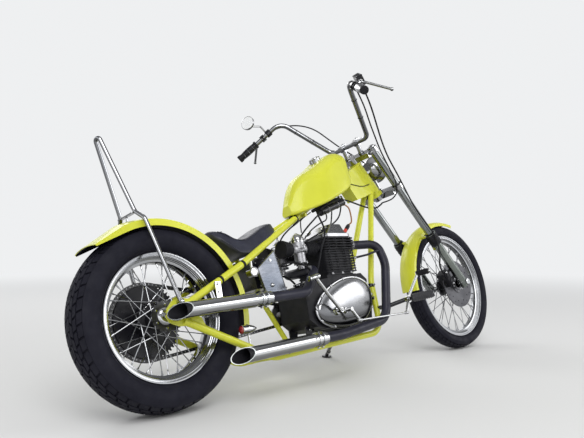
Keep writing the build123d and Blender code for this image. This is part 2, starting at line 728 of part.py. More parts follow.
def intake_rubbers():
    """Rubber stubs from the carburettors to the head, and the cone filters behind them."""
    pieces = []
    for y in (-62, 62):
        front = Plane(origin=(CARB_FRONT + RUN_GAP, y, INTAKE_Z), z_dir=(1, 0, 0))
        length = INTAKE_X - CARB_FRONT - 2 * RUN_GAP
        pieces.append(loft([front * Circle(31.0), front.offset(length) * Circle(27.0)]))
        rear = Plane(origin=(CARB_REAR - RUN_GAP, y, INTAKE_Z), z_dir=(-1, 0, 0))
        pieces.append(loft([rear * Circle(26.0), rear.offset(60) * Circle(38.0)]))
    return group(*pieces)


# Exhaust

def exhaust():
    start_x = EXHAUST_X + RUN_GAP
    low = [
        (start_x, -62, PORT_Z), (1060, -62, PORT_Z), (1140, -128, 560), (1152, -146, 462), (1066, -156, 205),
        (760, -MUFFLER_Y, lower_z(760)), (LOWER_MUFFLER[1][0] + 1, -MUFFLER_Y, lower_z(LOWER_MUFFLER[1][0] + 1)),
    ]
    yield "exhaust_header_front", tube(low, HEADER_R, [36.0, 58.0, 140.0, 90.0, 80.0], HEADER_R - 2)
    high = [
        (start_x, 62, PORT_Z), (1056, 62, PORT_Z), (1096, 110, 548), (1050, 152, 500), (812, 156, 478),
        (742, 90, 470), (738, -90, 462), (590, -MUFFLER_Y, upper_z(590)),
        (UPPER_MUFFLER[1][0] + 1, -MUFFLER_Y, upper_z(UPPER_MUFFLER[1][0] + 1)),
    ]
    yield "exhaust_header_rear", tube(high, HEADER_R, [24.0, 28.0, 36.0, 50.0, 44.0, 60.0, 60.0], HEADER_R - 2)


UPPER_MUFFLER = ((-60.0, 328.0), (389.0, 347.0))
LOWER_MUFFLER = ((174.0, 147.0), (645.0, 164.0))


def upper_z(x):
    """Height of the upper muffler's centre line at x."""
    (tail_x, tail_z), (front_x, front_z) = UPPER_MUFFLER
    return tail_z + (x - tail_x) * (front_z - tail_z) / (front_x - tail_x)


def lower_z(x):
    """Height of the lower muffler's centre line at x."""
    (tail_x, tail_z), (front_x, front_z) = LOWER_MUFFLER
    return tail_z + (x - tail_x) * (front_z - tail_z) / (front_x - tail_x)


def muffler_upper():
    """Upper muffler, on a flat bracket that hangs from the seat stay."""
    bracket = side_plate([(164, 338), (188, 338), (188, 426), (164, 426)], -145, -140)
    bracket += rod((176, -142, 417), (176, -116, 417), 8.0)
    return muffler(UPPER_MUFFLER, bracket)


def muffler_lower():
    """Lower muffler, on a short arm from the lower rail."""
    return muffler(LOWER_MUFFLER, rod((480, -116, 128), (480, -150, 150), 7.0))


def muffler(centre_line, bracket):
    """Straight chrome silencer, slash-cut at the tail, with a clamp sleeve at the front."""
    tail = Vector(centre_line[0][0], -MUFFLER_Y, centre_line[0][1])
    front = Vector(centre_line[1][0], -MUFFLER_Y, centre_line[1][1])
    along = (front - tail).normalized()
    shoulder = front - along * 78
    shell = rod(tail, shoulder, MUFFLER_R)
    cut_line = Plane(origin=tail + along * 50, z_dir=(0.60, 0.757, -0.26))
    shell = split(shell, cut_line, keep=Keep.TOP) + bracket
    shell -= rod(tail - along * 10, shoulder, MUFFLER_R - MUFFLER_WALL)
    cone_start = Plane(origin=shoulder, z_dir=along)
    cone = loft([cone_start * Circle(MUFFLER_R), cone_start.offset(12) * Circle(HEADER_R + 5)])
    sleeve = rod(shoulder + along * 12, front + along * 4, HEADER_R + 5)
    for start in (26, 50):
        sleeve += rod(shoulder + along * start, shoulder + along * (start + 12), HEADER_R + 9)
    body = shell + cone + sleeve
    return body - rod(front - along * 60, front + along * 60, HEADER_R + 0.3)


# Steering

def steering():
    stem = rod(fork(LOWER_CLAMP_T, 0), fork(UPPER_CLAMP_T, 0), STEM_R)
    yield "fork_clamps", clamp(LOWER_CLAMP_T) + stem + clamp(UPPER_CLAMP_T)
    tubes = []
    sliders = []
    for side in (-1, 1):
        y = side * FORK_Y
        tubes.append(rod(fork(SLIDER_TOP_T + RUN_GAP, FORK_OFFSET, y), fork(FORK_TOP_T, FORK_OFFSET, y), FORK_TUBE_R))
        leg = rod(fork(SLIDER_LOW_T, FORK_OFFSET, y), fork(SLIDER_TOP_T, FORK_OFFSET, y), SLIDER_R)
        leg += rod(fork(SLIDER_TOP_T - 20, FORK_OFFSET, y), fork(COLLAR_TOP_T, FORK_OFFSET, y), COLLAR_R)
        leg += rod(front_axle + Vector(0, y - 15, 0), front_axle + Vector(0, y + 15, 0), 21.0)
        leg -= rod(front_axle + Vector(0, y - 40, 0), front_axle + Vector(0, y + 40, 0), FRONT_AXLE_R + WHEEL_BORE_GAP)
        leg -= rod(fork(SLIDER_TOP_T, FORK_OFFSET, y), fork(FORK_TOP_T, FORK_OFFSET, y), FORK_TUBE_R + WHEEL_BORE_GAP)
        sliders.append(leg)
    yield "fork_tubes", group(*tubes)
    sliders = group(*sliders)
    yield "fork_sliders", sliders
    caliper = less(front_caliper(), sliders)
    yield "front_caliper", caliper
    yield "handlebar", handlebar()
    yield "grips", grips()
    controls = hand_controls()
    yield "hand_controls", controls
    yield "mirror", mirror_piece()
    lamp = headlamp()
    yield "headlamp", lamp
    yield "front_mudguard", front_mudguard()
    yield "front_axle", front_axle_piece()
    yield "throttle_cable", less(cord(throttle_route(), CABLE_R), controls)
    yield "handlebar_lead", less(less(cord(LEAD_ROUTE, CABLE_R), controls), lamp)
    yield "brake_hose", less(less(cord(BRAKE_HOSE_ROUTE, HOSE_R), controls), caliper)


def clamp(t):
    """A fork clamp plate with its two leg bosses."""
    low = fork(t - CLAMP_H / 2, 0)
    plane = Plane(origin=low, x_dir=(0, 1, 0), z_dir=axis_up)
    forward = plane.y_dir.dot(axis_fwd)
    e = FORK_OFFSET * forward
    legs = Pos(-FORK_Y, e) * Circle(FORK_TUBE_R + 9) + Pos(FORK_Y, e) * Circle(FORK_TUBE_R + 9)
    bridge = Pos(0, e / 2) * Rectangle(2 * FORK_Y, 60) + Circle(26)
    outline = legs + bridge
    body = extrude(plane * outline, CLAMP_H)
    for y in (-FORK_Y, FORK_Y):
        bore_r = FORK_TUBE_R + WHEEL_BORE_GAP
        body -= rod(fork(t - CLAMP_H, FORK_OFFSET, y), fork(t + CLAMP_H, FORK_OFFSET, y), bore_r)
    return body


BAR_CLAMP = (972.0, 52.0)
BAR_BORE_R = 10.0
BAR_BORE_DEPTH = 60.0


def handlebar_points():
    t_clamp, e_clamp = BAR_CLAMP
    return [
        fork(1244, -210, -442), fork(1272, -5, -249), fork(t_clamp + 4, e_clamp, -126),
        fork(t_clamp + 4, e_clamp, 126), fork(1272, -5, 249), fork(1244, -210, 442),
    ]


def handlebar():
    bar = tube(handlebar_points(), BAR_R, [70.0, 42.0, 42.0, 70.0])
    for side in (-1, 1):
        end, inward = bar_end(side, 0)
        bar -= rod(end - inward * 5, end + inward * BAR_BORE_DEPTH, BAR_BORE_R)
    for y in (-48, 48):
        base_t = UPPER_CLAMP_T + CLAMP_H / 2 + RUN_GAP
        foot = fork(base_t + 5, 34, y)
        top = fork(BAR_CLAMP[0] + 4, BAR_CLAMP[1], y)
        post = rod(foot, top, 12.0)
        post += rod(fork(base_t, 33, y), fork(base_t + 9, 33, y), 15.0)
        post += rod(top + Vector(0, -14, 0), top + Vector(0, 14, 0), BAR_R + 7)
        bar += post
    return bar


def grips():
    """A waisted rubber grip on each end of the bar."""
    handles = []
    for side in (-1, 1):
        end = fork(1244, -210, side * 442)
        bend = fork(1272, -5, side * 249)
        along = (bend - end).normalized()
        start = end - along * 3
        handles.append(rod(start, start + along * 118, 18.0, BAR_R + 0.3))
    return group(*handles)


def bar_end(side, back):
    """A point on the bar's grip run, at a distance back from its end, and the run's direction."""
    end = fork(1244, -210, side * 442)
    bend = fork(1272, -5, side * 249)
    inward = (bend - end).normalized()
    return end + inward * back, inward


def across_bar(inward):
    """Direction square to the grip run, to its front."""
    return (axis_fwd - inward * inward.dot(axis_fwd)).normalized()


def hand_controls():
    """Clutch lever on the left; brake lever and its master cylinder on the right."""
    controls = []
    for side in (-1, 1):
        centre, inward = bar_end(side, 160)
        ahead = across_bar(inward)
        pivot = centre + ahead * 36
        perch = rod(centre - inward * 12, centre + inward * 12, 20.0, BAR_R + RUN_GAP)
        perch += rod(centre + ahead * 15, pivot, 9.0)
        tip = fork(1165, -97, side * 488)
        elbow = pivot - inward * 40 + ahead * 6
        perch += tube([pivot - (elbow - pivot).normalized() * 8, elbow, tip], 6.0, [30.0])
        perch += Pos(*tip) * Sphere(8.5)
        if side < 0:
            level = Plane(origin=centre + inward * 44 + ahead * 40, x_dir=inward, z_dir=ahead)
            perch += level * Box(64, 44, 30)
            perch += rod(pivot - ahead * 4, centre + inward * 30 + ahead * 32, 9.0)
        controls.append(biggest(perch))
    return group(*controls)


def mirror_piece():
    """Round mirror on a stem from the left side of the bar."""
    foot, inward = bar_end(1, 192)
    upward = inward.cross(across_bar(inward)).normalized()
    if upward.Z < 0:
        upward = upward * -1
    ring = rod(foot - inward * 8, foot + inward * 8, 18.0, BAR_R + RUN_GAP)
    head = fork(1373, -121, 330)
    facing = Vector(-0.86, -0.30, 0.12).normalized()
    low = (axis_up - facing * facing.dot(axis_up)).normalized() * -22
    stem = tube([foot + upward * 15, foot + upward * 56, head + low], 4.5, [14.0])
    plate = rod(head - facing * 7, head + facing * 5, 36.0)
    return ring + stem + plate


def headlamp():
    """Chrome bullet lamp between the fork legs, on a stay to the lower clamp."""
    back = Plane(origin=fork(822, 60), z_dir=(1, 0, 0))
    bowl = loft([back * Circle(30), back.offset(18) * Circle(52), back.offset(46) * Circle(66)])
    bowl += loft([back.offset(46) * Circle(66), back.offset(82) * Circle(71)], ruled=True)
    post = rod(fork(LOWER_CLAMP_T + CLAMP_H / 2 + 1.7, 47), fork(775, 66), 7.0)
    return bowl + post


def front_mudguard():
    """Short guard hugging the rear half of the front tyre, on a bracket to each fork leg."""
    radius = FRONT_TYRE_R + FRONT_GUARD_GAP
    section = guard_section(FRONT_GUARD_HALF_W, GUARD_WALL, FRONT_GUARD_SKIRT, GUARD_RISE)
    arc = guard_arc(front_axle, radius, FRONT_GUARD_START, FRONT_GUARD_END)
    guard = sweep(guard_plane(front_axle, radius, FRONT_GUARD_START) * section, path=arc)
    boss_t = 338.0
    for side in (-1, 1):
        inner_y = side * (FRONT_GUARD_HALF_W - 1)
        outer_y = side * (FORK_Y - COLLAR_R + 3)
        guard += rod(fork(boss_t, FORK_OFFSET, inner_y), fork(boss_t, FORK_OFFSET, outer_y), 8.0)
        leg_y = side * FORK_Y
        edge = guard_plane(front_axle, radius - FRONT_GUARD_SKIRT / 2, 116).origin + Vector(0, inner_y, 0)
        strap_end = fork(256, FORK_OFFSET - SLIDER_R + 6, leg_y * 0.93)
        strap = Plane(origin=edge, x_dir=(0.5, 0, 0.87), z_dir=(strap_end - edge).normalized())
        guard += extrude(strap * Rectangle(34, 4), (strap_end - edge).length)
        guard -= rod(fork(SLIDER_TOP_T - 30, FORK_OFFSET, leg_y), fork(COLLAR_TOP_T + 20, FORK_OFFSET, leg_y),
                     COLLAR_R + RUN_GAP)
        guard -= rod(fork(SLIDER_LOW_T, FORK_OFFSET, leg_y), fork(SLIDER_TOP_T, FORK_OFFSET, leg_y),
                     SLIDER_R + RUN_GAP)
    return biggest(guard)


# Cables and hose

CABLE_R = 3.5
HOSE_R = 4.0
LEAD_ROUTE = [
    (978, 347, 1265), (1001, 316, 1289), (1066, 283, 1312), (1142, 236, 1312), (1208, 188, 1278),
    (1250, 144, 1210), (1282, 100, 1146), (1310, 62, 1100), (1338, 34, 1062), (1362, 14, 1030),
]
BRAKE_HOSE_ROUTE = [
    (1017, -328, 1271), (1041, -322, 1240), (1098, -296, 1180), (1172, -250, 1122), (1254, -198, 1066),
    (1330, -160, 1002), (1392, -148, 928), (1434, -147, 842), (1478, -146, 756), (1540, -147, 676),
    (1604, -146, 606), (1636, -138, 540), (1662, -112, 480), (1683, -80, 437), (1707, -80, 405.4),
]


def throttle_route():
    """From the right control outside the fork leg, then behind it to the steering axis."""
    outside = [
        (968, -330, 1237), (996, -322, 1204), (1046, -298, 1166), (1116, -254, 1122), (1196, -208, 1078),
        (1268, -168, 1030), (1326, -150, 966), (1366, -150, 886),
    ]
    inside = [fork(668, -14, -136), fork(642, -16, -96), fork(632, -6, -48), fork(632, 0, 0)]
    return [Vector(*point) for point in outside] + inside


def cord(points, radius):
    """A cable along straight runs, with each arc as large as its two runs allow."""
    points = [Vector(*p) if isinstance(p, tuple) else p for p in points]
    bends = []
    for before, here, after in zip(points, points[1:], points[2:]):
        turn = (here - before).get_angle(after - here)
        run = min((here - before).length, (after - here).length)
        bends.append(0.45 * run / math.tan(math.radians(turn) / 2))
    print("cable radii", [round(bend) for bend in bends])
    return tube(points, radius, bends)


# Running gear

def spacer(centre, side, inner_y, outer_y):
    """Distance sleeve on an axle, between two faces at one side of the wheel."""
    gap = RUN_GAP
    a = centre + Vector(0, side * (inner_y + gap), 0)
    b = centre + Vector(0, side * (outer_y - gap), 0)
    return rod(a, b, 13.0, REAR_AXLE_R - 1)


def front_axle_piece():
    half = FORK_Y + 30
    shaft = rod(front_axle + Vector(0, -half, 0), front_axle + Vector(0, half, 0), FRONT_AXLE_R, AXLE_BORE_R)
    leg_face = FORK_Y - SLIDER_R
    shaft += spacer(front_axle, -1, -FRONT_HUB_RIGHT + 14, leg_face)
    shaft += spacer(front_axle, 1, FRONT_HUB_LEFT + 12, leg_face)
    return shaft


def front_caliper():
    """Brake caliper that straddles the disc, on two lugs from the right fork leg."""
    plane = Plane(origin=fork(89, -12, DISC_Y - 1.5), x_dir=axis_up, z_dir=(0, 1, 0))
    body = plane * Box(86, 44, 45)
    slot = Vector(0, DISC_T / 2 + 2, 0)
    middle = front_axle + Vector(0, DISC_Y, 0)
    body -= rod(middle - slot, middle + slot, DISC_R + 6)
    for t in (66, 112):
        body += rod(fork(t, -6, DISC_Y - 16), fork(t, FORK_OFFSET - 8, -FORK_Y + 12), 7.0)
    return body


def rear_axle_piece():
    half = STAY_Y + AXLE_PLATE_T / 2
    shaft = rod(rear_axle + Vector(0, -half - 13, 0), rear_axle + Vector(0, half + 13, 0), REAR_AXLE_R, AXLE_BORE_R)
    for side in (-1, 1):
        a = rear_axle + Vector(0, side * (half + RUN_GAP), 0)
        b = rear_axle + Vector(0, side * (half + 11), 0)
        shaft += rod(a, b, 28.0, REAR_AXLE_R - 1)
    plate_face = STAY_Y - AXLE_PLATE_T / 2
    shaft += spacer(rear_axle, -1, -REAR_HUB_RIGHT + 14, plate_face)
    shaft += spacer(rear_axle, 1, REAR_HUB_LEFT + 12, plate_face)
    return shaft


def chain():
    """The drive chain as one closed loop round both sprockets."""
    small = Vector(ENGINE_SPROCKET[0], ENGINE_SPROCKET[1])
    big = Vector(0, REAR_TYRE_R)

    def belt(grow):
        a = Pos(small.X, small.Y) * Circle(engine_sprocket_r + grow)
        b = Pos(big.X, big.Y) * Circle(sprocket_r + grow)
        return make_hull(a.edges() + b.edges())

    outline = belt(13.5) - belt(0.5 + 5.0)
    plane = Plane(origin=(0, CHAIN_Y + 7, 0), x_dir=(1, 0, 0), z_dir=(0, -1, 0))
    return extrude(plane * outline, 14)


def engine_sprocket():
    """Toothed wheel on the gearbox shaft."""
    a = Vector(ENGINE_SPROCKET[0], 72 + RUN_GAP, ENGINE_SPROCKET[1])
    b = Vector(ENGINE_SPROCKET[0], CHAIN_Y - 3.5, ENGINE_SPROCKET[1])
    c = Vector(ENGINE_SPROCKET[0], CHAIN_Y + 3.5, ENGINE_SPROCKET[1])
    return rod(a, c + Vector(0, 6, 0), 14.0) + rod(b, c, engine_sprocket_r + 4.7)


# Fittings

def side_panel():
    """Polished panel on the right of the battery box, on the box's boss."""
    plate = side_plate([(506, 543), (541, 374), (435, 377), (409, 474)], -104, -90)
    return plate + rod((490, -92, 470), (490, -68, 470), 9.0)


def battery_box():
    """Battery box between the frame posts, on a boss at each side."""
    box = side_plate([(416, 520), (484, 520), (536, 400), (430, 400)], -56, 56)
    return box + rod((490, -68, 470), (490, 68, 470), 8.0)


def horn():
    """Small round horn under the right seat stay."""
    body = rod((378, -116, 460), (378, -88, 460), 20.0)
    return body + rod((378, -102, 460), (378, -102, 510), 5.0)


def tail_lamp():
    """Bullet lamp facing back, on a stem from the right lower rail."""
    centre = Vector(276, -112, 244)
    plane = Plane(origin=centre, z_dir=(1, 0, 0))
    body = rod(centre, centre + Vector(26, 0, 0), 17.0)
    body += loft([plane.offset(26) * Circle(17), plane.offset(52) * Circle(12), plane.offset(70) * Circle(3)])
    return body + rod((306, -112, 240), (306, -112, 174), 5.0)


def kick_lever():
    """Kick-start crank on the right, with its folding pedal."""
    shaft = rod((767, -126, 268), (767, -178, 268), 10.0)
    arm = tube([(770, -170, 264), (700, -178, 336), (630, -190, 410)], 8.0, [60.0])
    return shaft + arm + rod((642, -190, 413), (588, -196, 404), 9.5)


FOOT_PIVOT = (1206.0, 279.0)


def footpegs():
    """Forward peg bars from the downtubes, with a ribbed peg at each end."""
    x, z = FOOT_PIVOT
    bars = []
    for side in (-1, 1):
        path = [(1080, side * 100, 262), (1140, side * 112, 262), (x, side * 176, z), (x, side * 216, z)]
        bar = tube(path, 10.0, [26.0, 16.0])
        bars.append(bar + rod((x, side * 214, z), (x + 50, side * 306, z + 4), 15.0))
    return bars


def foot_lever(side):
    """A forged lever that hangs on the peg bar, with a rubber-covered toe piece."""
    x, z = FOOT_PIVOT
    lever = rod((x, side * 186, z), (x, side * 200, z), 17.0)
    lever += rod((x + 6, side * 193, z + 10), (1290, side * 214, 392), 6.5)
    lever += rod((1288, side * 206, 392), (1314, side * 268, 394), 11.0)
    lever += rod((x - 4, side * 193, z - 8), (1168, side * 196, 218), 6.5)
    hole = rod((x, side * 180, z), (x, side * 216, z), 10.0 + RUN_GAP)
    return lever - hole


def brake_pedal():
    """Brake lever on the right peg, with the rod and crank that work the rear brake."""
    crank = rod((817, -128, 266), (817, -188, 266), 8.0)
    crank += rod((817, -182, 266), (857, -182, 215), 6.5)
    link = tube([(856, -176, 215), (856, -190, 215)], 8.0)
    link += rod((857, -184, 215), (1168, -196, 218), 4.0)
    return foot_lever(-1) + crank + link


def gear_pedal():
    """Gear lever on the left peg, with its rod back to the shift shaft."""
    crank = rod((817, 120, 266), (817, 188, 266), 8.0)
    crank += rod((817, 182, 266), (857, 182, 215), 6.5)
    link = rod((857, 176, 215), (857, 190, 215), 8.0)
    link += rod((857, 184, 215), (1168, 196, 218), 4.0)
    return foot_lever(1) + crank + link


def ignition_coil():
    """Coil can slung under the tank from the backbone."""
    can = rod((884, -46, 732), (1046, -46, 788), 18.0)
    return can + rod((945, -42, 756), (930, -6, 812), 5.0)


STAND_PIVOT = (1005.0, 142.0)
STAND_REACH = (118.0, 178.0)


def side_stand():
    """Side stand: a leg from its pivot on the left rail to a flat foot on the ground."""
    pivot = Vector(STAND_PIVOT[0], STAND_PIVOT[1], rail_z(STAND_PIVOT[0]))
    foot_x = pivot.X + STAND_REACH[0]
    foot_y = pivot.Y + STAND_REACH[1]
    up = Vector(0, -math.sin(lean_rad), math.cos(lean_rad))
    foot = Vector(foot_x, foot_y, ground_z(foot_x, foot_y))
    pad = rod(foot, foot + up * 7, 24.0)
    along = (foot + up * 10 - pivot).normalized()
    folded = Vector(-1, 0.08, 0).normalized()
    axis = along.cross(folded).normalized()
    eye = rod(pivot - axis * 9, pivot + axis * 9, 14.0)
    return eye + rod(pivot, foot + up * 10, 8.5) + pad


def model():
    yield from frame_pieces()
    yield "seat", seat()
    tank = fuel_tank()
    yield "fuel_tank", tank
    yield "fuel_cap", less(rod((970, 0, 992), (958, 0, 1020), 27.0), tank)
    yield "carburettors", carburettors()
    yield "intake_rubbers", intake_rubbers()
    yield from exhaust()
    yield "rear_axle", rear_axle_piece()
    yield "drive_chain", chain()
    yield "engine_sprocket", engine_sprocket()
    yield from rear_wheel()
    yield from steering()
    yield from front_wheel()
    yield "side_stand", side_stand()


def place(shape):
    """Lean the machine onto its stand, top to the left."""
    return Rot(-LEAN, 0, 0) * shape


def solid_of(shape):
    """A part made of the shape's solids alone."""
    solids = shape.solids()
    return solids[0] if len(solids) == 1 else Compound(solids)


os.makedirs("parts", exist_ok=True)
pieces = {}
for piece_name, piece in model():
    pieces[piece_name] = place(solid_of(piece))
boxes = [piece.bounding_box() for piece in pieces.values()]
middle_x = (min(box.min.X for box in boxes) + max(box.max.X for box in boxes)) / 2
middle_y = (min(box.min.Y for box in boxes) + max(box.max.Y for box in boxes)) / 2
shift = Pos(-middle_x, -middle_y, -min(box.min.Z for box in boxes))
for piece_name, piece in pieces.items():
    export_step(shift * piece, f"parts/{piece_name}.step")
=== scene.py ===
import bpy
import bmesh
import math
from mathutils import Matrix, Vector


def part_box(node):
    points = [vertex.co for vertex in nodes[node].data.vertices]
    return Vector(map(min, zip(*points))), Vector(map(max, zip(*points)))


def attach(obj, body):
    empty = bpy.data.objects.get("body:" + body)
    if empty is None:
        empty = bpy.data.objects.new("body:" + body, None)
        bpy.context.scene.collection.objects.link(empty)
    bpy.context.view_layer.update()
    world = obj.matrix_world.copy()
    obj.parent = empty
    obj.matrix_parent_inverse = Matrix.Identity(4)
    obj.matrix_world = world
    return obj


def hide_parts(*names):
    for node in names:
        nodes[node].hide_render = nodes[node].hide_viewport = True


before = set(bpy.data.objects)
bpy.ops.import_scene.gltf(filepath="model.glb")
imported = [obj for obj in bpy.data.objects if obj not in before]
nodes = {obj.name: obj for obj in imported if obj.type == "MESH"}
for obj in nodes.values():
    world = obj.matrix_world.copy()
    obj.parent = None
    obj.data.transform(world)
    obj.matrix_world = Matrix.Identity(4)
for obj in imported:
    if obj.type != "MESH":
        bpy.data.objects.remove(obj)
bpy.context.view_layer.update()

# The machine's own frame: millimetres, upright, origin on the ground line under the rear axle
LEAN = math.radians(14.57)
REAR_R = 330
FRONT_R = 342
WHEELBASE = 1841
AXIS_FOOT = Vector((1799.96, 0, 310.48))
RAKE = math.radians(37.6)
UP = Vector((-math.sin(RAKE), 0, math.cos(RAKE)))
AHEAD = Vector((math.cos(RAKE), 0, math.sin(RAKE)))
ACROSS = Vector((0, 1, 0))
RIGHT = -ACROSS
FORWARD = Vector((1, 0, 0))
UPRIGHT = Vector((0, 0, 1))
SQUARE = (FORWARD, ACROSS, UPRIGHT)
SIDES = (-1, 1)
REAR_AXLE = Vector((0, 0, REAR_R))
FRONT_AXLE = Vector((WHEELBASE, 0, FRONT_R))

# Axes and places that several fittings share
BACKBONE_AIM = (0.86, 0, 0.51)
COIL_AIM = (0.945, 0, 0.327)
COIL_BACK = (-0.945, 0, -0.327)
CAP_AIM = (-0.39, 0, 0.92)
MUFFLERS = {
    # tail and front of each silencer's centre line
    "muffler_upper": (Vector((-60, -166, 328)), Vector((389, -166, 347))),
    "muffler_lower": (Vector((174, -166, 147)), Vector((645, -166, 164))),
}
COVER_FACE = 105.3
CYLINDER_Y = 62
LEG_E = 46
LEG_Y = 108


def place_matrix():
    """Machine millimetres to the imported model's metres, placed by the rear tyre."""
    lean = Matrix.Rotation(-LEAN, 4, "X")
    low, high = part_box("rear_tyre")
    centre = (Vector(low) + Vector(high)) / 2
    leaned = lean @ REAR_AXLE * 0.001
    return Matrix.Translation(centre - leaned) @ lean @ Matrix.Scale(0.001, 4)


BIKE = place_matrix()


def fork(t, e, y=0):
    """A point t up the steering axis, e forward of it and y to the left."""
    return AXIS_FOOT + UP * t + AHEAD * e + Vector((0, y, 0))


def tube_foot(side):
    """The bend at the foot of a front tube."""
    return Vector((1106, side * 76, 388))


def polar(r, a, y=0):
    """A step of r at an angle in the side view, and y to the left."""
    return Vector((math.cos(a) * r, y, math.sin(a) * r))


def turns(count, shift=0):
    """So many equal angles round a circle."""
    return [2 * math.pi * (i + shift) / count for i in range(count)]


def between(a, b, share):
    return a + (b - a) * share


def in_scene(name, data):
    """A new object, put into the scene."""
    thing = bpy.data.objects.new(name, data)
    bpy.context.scene.collection.objects.link(thing)
    return thing


# Camera and light

# Metres from the point under the rear axle, radians, and the lens in pixels and millimetres
CAMERA_PLACE = Vector((-1.1664, -1.8727, 0.62))
CAMERA_YAW = 0.7492
CAMERA_PITCH = 0.0244
FOCAL_PIXELS = 621.46
PHOTO_WIDTH = 584
SENSOR_WIDTH = 36
CLIP_END = 200
BACKDROP = (0.86, 0.87, 0.88, 1)
FLOOR_HALF = 60
FADE_FROM = 1.8
FADE_TO = 8


def look():
    """The photograph's own camera."""
    camera = in_scene("camera", bpy.data.cameras.new("camera"))
    level = math.cos(CAMERA_PITCH)
    ahead = Vector((math.sin(CAMERA_YAW) * level, math.cos(CAMERA_YAW) * level, math.sin(CAMERA_PITCH)))
    right = Vector((math.cos(CAMERA_YAW), -math.sin(CAMERA_YAW), 0))
    turn = Matrix((right, right.cross(ahead), -ahead)).transposed()
    place = CAMERA_PLACE + BIKE.translation
    camera.matrix_world = Matrix.Translation(place) @ turn.to_4x4()
    camera.data.sensor_width = SENSOR_WIDTH
    camera.data.lens = FOCAL_PIXELS / PHOTO_WIDTH * SENSOR_WIDTH
    camera.data.clip_end = CLIP_END
    bpy.context.scene.camera = camera


def area_light(name, place, target, size, power):
    """A soft rectangular lamp that looks at a target."""
    lamp = bpy.data.lights.new(name, "AREA")
    lamp.shape = "RECTANGLE"
    lamp.size, lamp.size_y = size
    lamp.energy = power
    holder = in_scene(name, lamp)
    holder.location = place
    holder.rotation_euler = (Vector(target) - Vector(place)).to_track_quat("-Z", "Y").to_euler()


class Web:
    """A node tree, with short calls that add a node and join it."""

    def __init__(self, tree):
        self.tree = tree

    def link(self, a, b):
        self.tree.links.new(a, b)

    def add(self, kind, sockets, output=0, **settings):
        """A node with its settings and its sockets set or linked. Gives one of its outputs."""
        node = self.tree.nodes.new("ShaderNode" + kind)
        for name, value in settings.items():
            setattr(node, name, value)
        for socket, value in sockets.items():
            if isinstance(value, bpy.types.NodeSocket):
                self.link(value, node.inputs[socket])
            else:
                node.inputs[socket].default_value = value
        return node.outputs[output] if node.outputs else node

    def ramp(self, value, stops):
        """Colours by value: stops of (position, colour)."""
        out = self.add("ValToRGB", {0: value})
        elements = out.node.color_ramp.elements
        while len(elements) < len(stops):
            elements.new(0.5)
        for element, (position, colour) in zip(elements, stops):
            element.position = position
            element.color = (*colour, 1)
        return out

    def span(self, value, low, high, start=0.3, end=0.7):
        """value from start..end spread over low..high."""
        sockets = {"From Min": start, "From Max": end, "To Min": low, "To Max": high, "Value": value}
        return self.add("MapRange", sockets)

    def rays(self):
        """Outputs that say which kind of ray arrives."""
        return self.add("LightPath", {}).node.outputs


# Greys from the nadir to the zenith, as (height, grey)
SOFT_SKY = [(0, 0.3), (0.5, 0.72), (0.8, 0.85)]
MIRRORED_SKY = [
    (0.4, 0.18), (0.49, 0.3), (0.505, 0.95), (0.62, 1), (0.72, 0.42), (0.86, 0.2), (1, 0.62),
]


def studio():
    """Even pale light at the horizon and darker overhead, seen in the chrome; a pale backdrop."""
    world = bpy.data.worlds.new("studio")
    bpy.context.scene.world = world
    world.use_nodes = True
    world.node_tree.nodes.clear()
    web = Web(world.node_tree)
    direction = web.add("TexCoord", {}, "Generated")
    height = web.span(web.add("SeparateXYZ", {0: direction}, "Z"), 0, 1, -1, 1)

    def sky(stops, strength):
        greys = [(position, (grey, grey * 1.01, grey * 1.03)) for position, grey in stops]
        return web.add("Background", {0: web.ramp(height, greys), 1: strength})

    soft = sky(SOFT_SKY, 0.75)
    mirrored = sky(MIRRORED_SKY, 1)
    seen = web.add("Background", {0: BACKDROP})
    rays = web.rays()
    shiny = web.add("Math", {0: rays["Is Glossy Ray"], 1: rays["Is Transmission Ray"]}, operation="MAXIMUM")
    lit = web.add("MixShader", {0: shiny, 1: soft, 2: mirrored})
    web.add("OutputWorld", {0: web.add("MixShader", {0: rays["Is Camera Ray"], 1: lit, 2: seen})})


def floor():
    """A pale floor that takes the object's shadow and runs out into the backdrop's own grey."""
    mesh = bpy.data.meshes.new("floor")
    corners = [(x * FLOOR_HALF, y * FLOOR_HALF, 0) for x, y in ((-1, -1), (1, -1), (1, 1), (-1, 1))]
    mesh.from_pydata(corners, [], [(0, 1, 2, 3)])
    thing = in_scene("floor", mesh)
    mat = bpy.data.materials.new("floor_pale")
    mat.use_nodes = True
    web = Web(mat.node_tree)
    shader = web.tree.nodes["Principled BSDF"]
    shader.inputs["Base Color"].default_value = (0.72, 0.72, 0.71, 1)
    shader.inputs["Roughness"].default_value = 0.9
    reach = web.add("VectorMath", {0: web.add("TexCoord", {}, "Object")}, "Value", operation="LENGTH")
    sockets = {"From Min": FADE_FROM, "From Max": FADE_TO, "Value": reach}
    fade = web.add("MapRange", sockets, interpolation_type="SMOOTHSTEP")
    share = web.add("Math", {0: fade, 1: web.rays()["Is Camera Ray"]}, operation="MULTIPLY")
    plain = web.add("Emission", {0: BACKDROP})
    mix = web.add("MixShader", {0: share, 1: shader.outputs[0], 2: plain})
    web.link(mix, web.tree.nodes["Material Output"].inputs[0])
    mesh.materials.append(mat)


look()
area_light("key_light", (-2.6, -3.6, 4.2), (0, 0, 0.4), (3.5, 3.5), 150)
area_light("fill_light", (3.4, -3.4, 2.4), (0.2, 0, 0.5), (3, 2), 50)
area_light("back_light", (0.5, 4.2, 3.4), (0, 0, 0.6), (4, 2), 60)
studio()
bpy.context.scene.view_settings.view_transform = "Standard"
floor()


# Materials

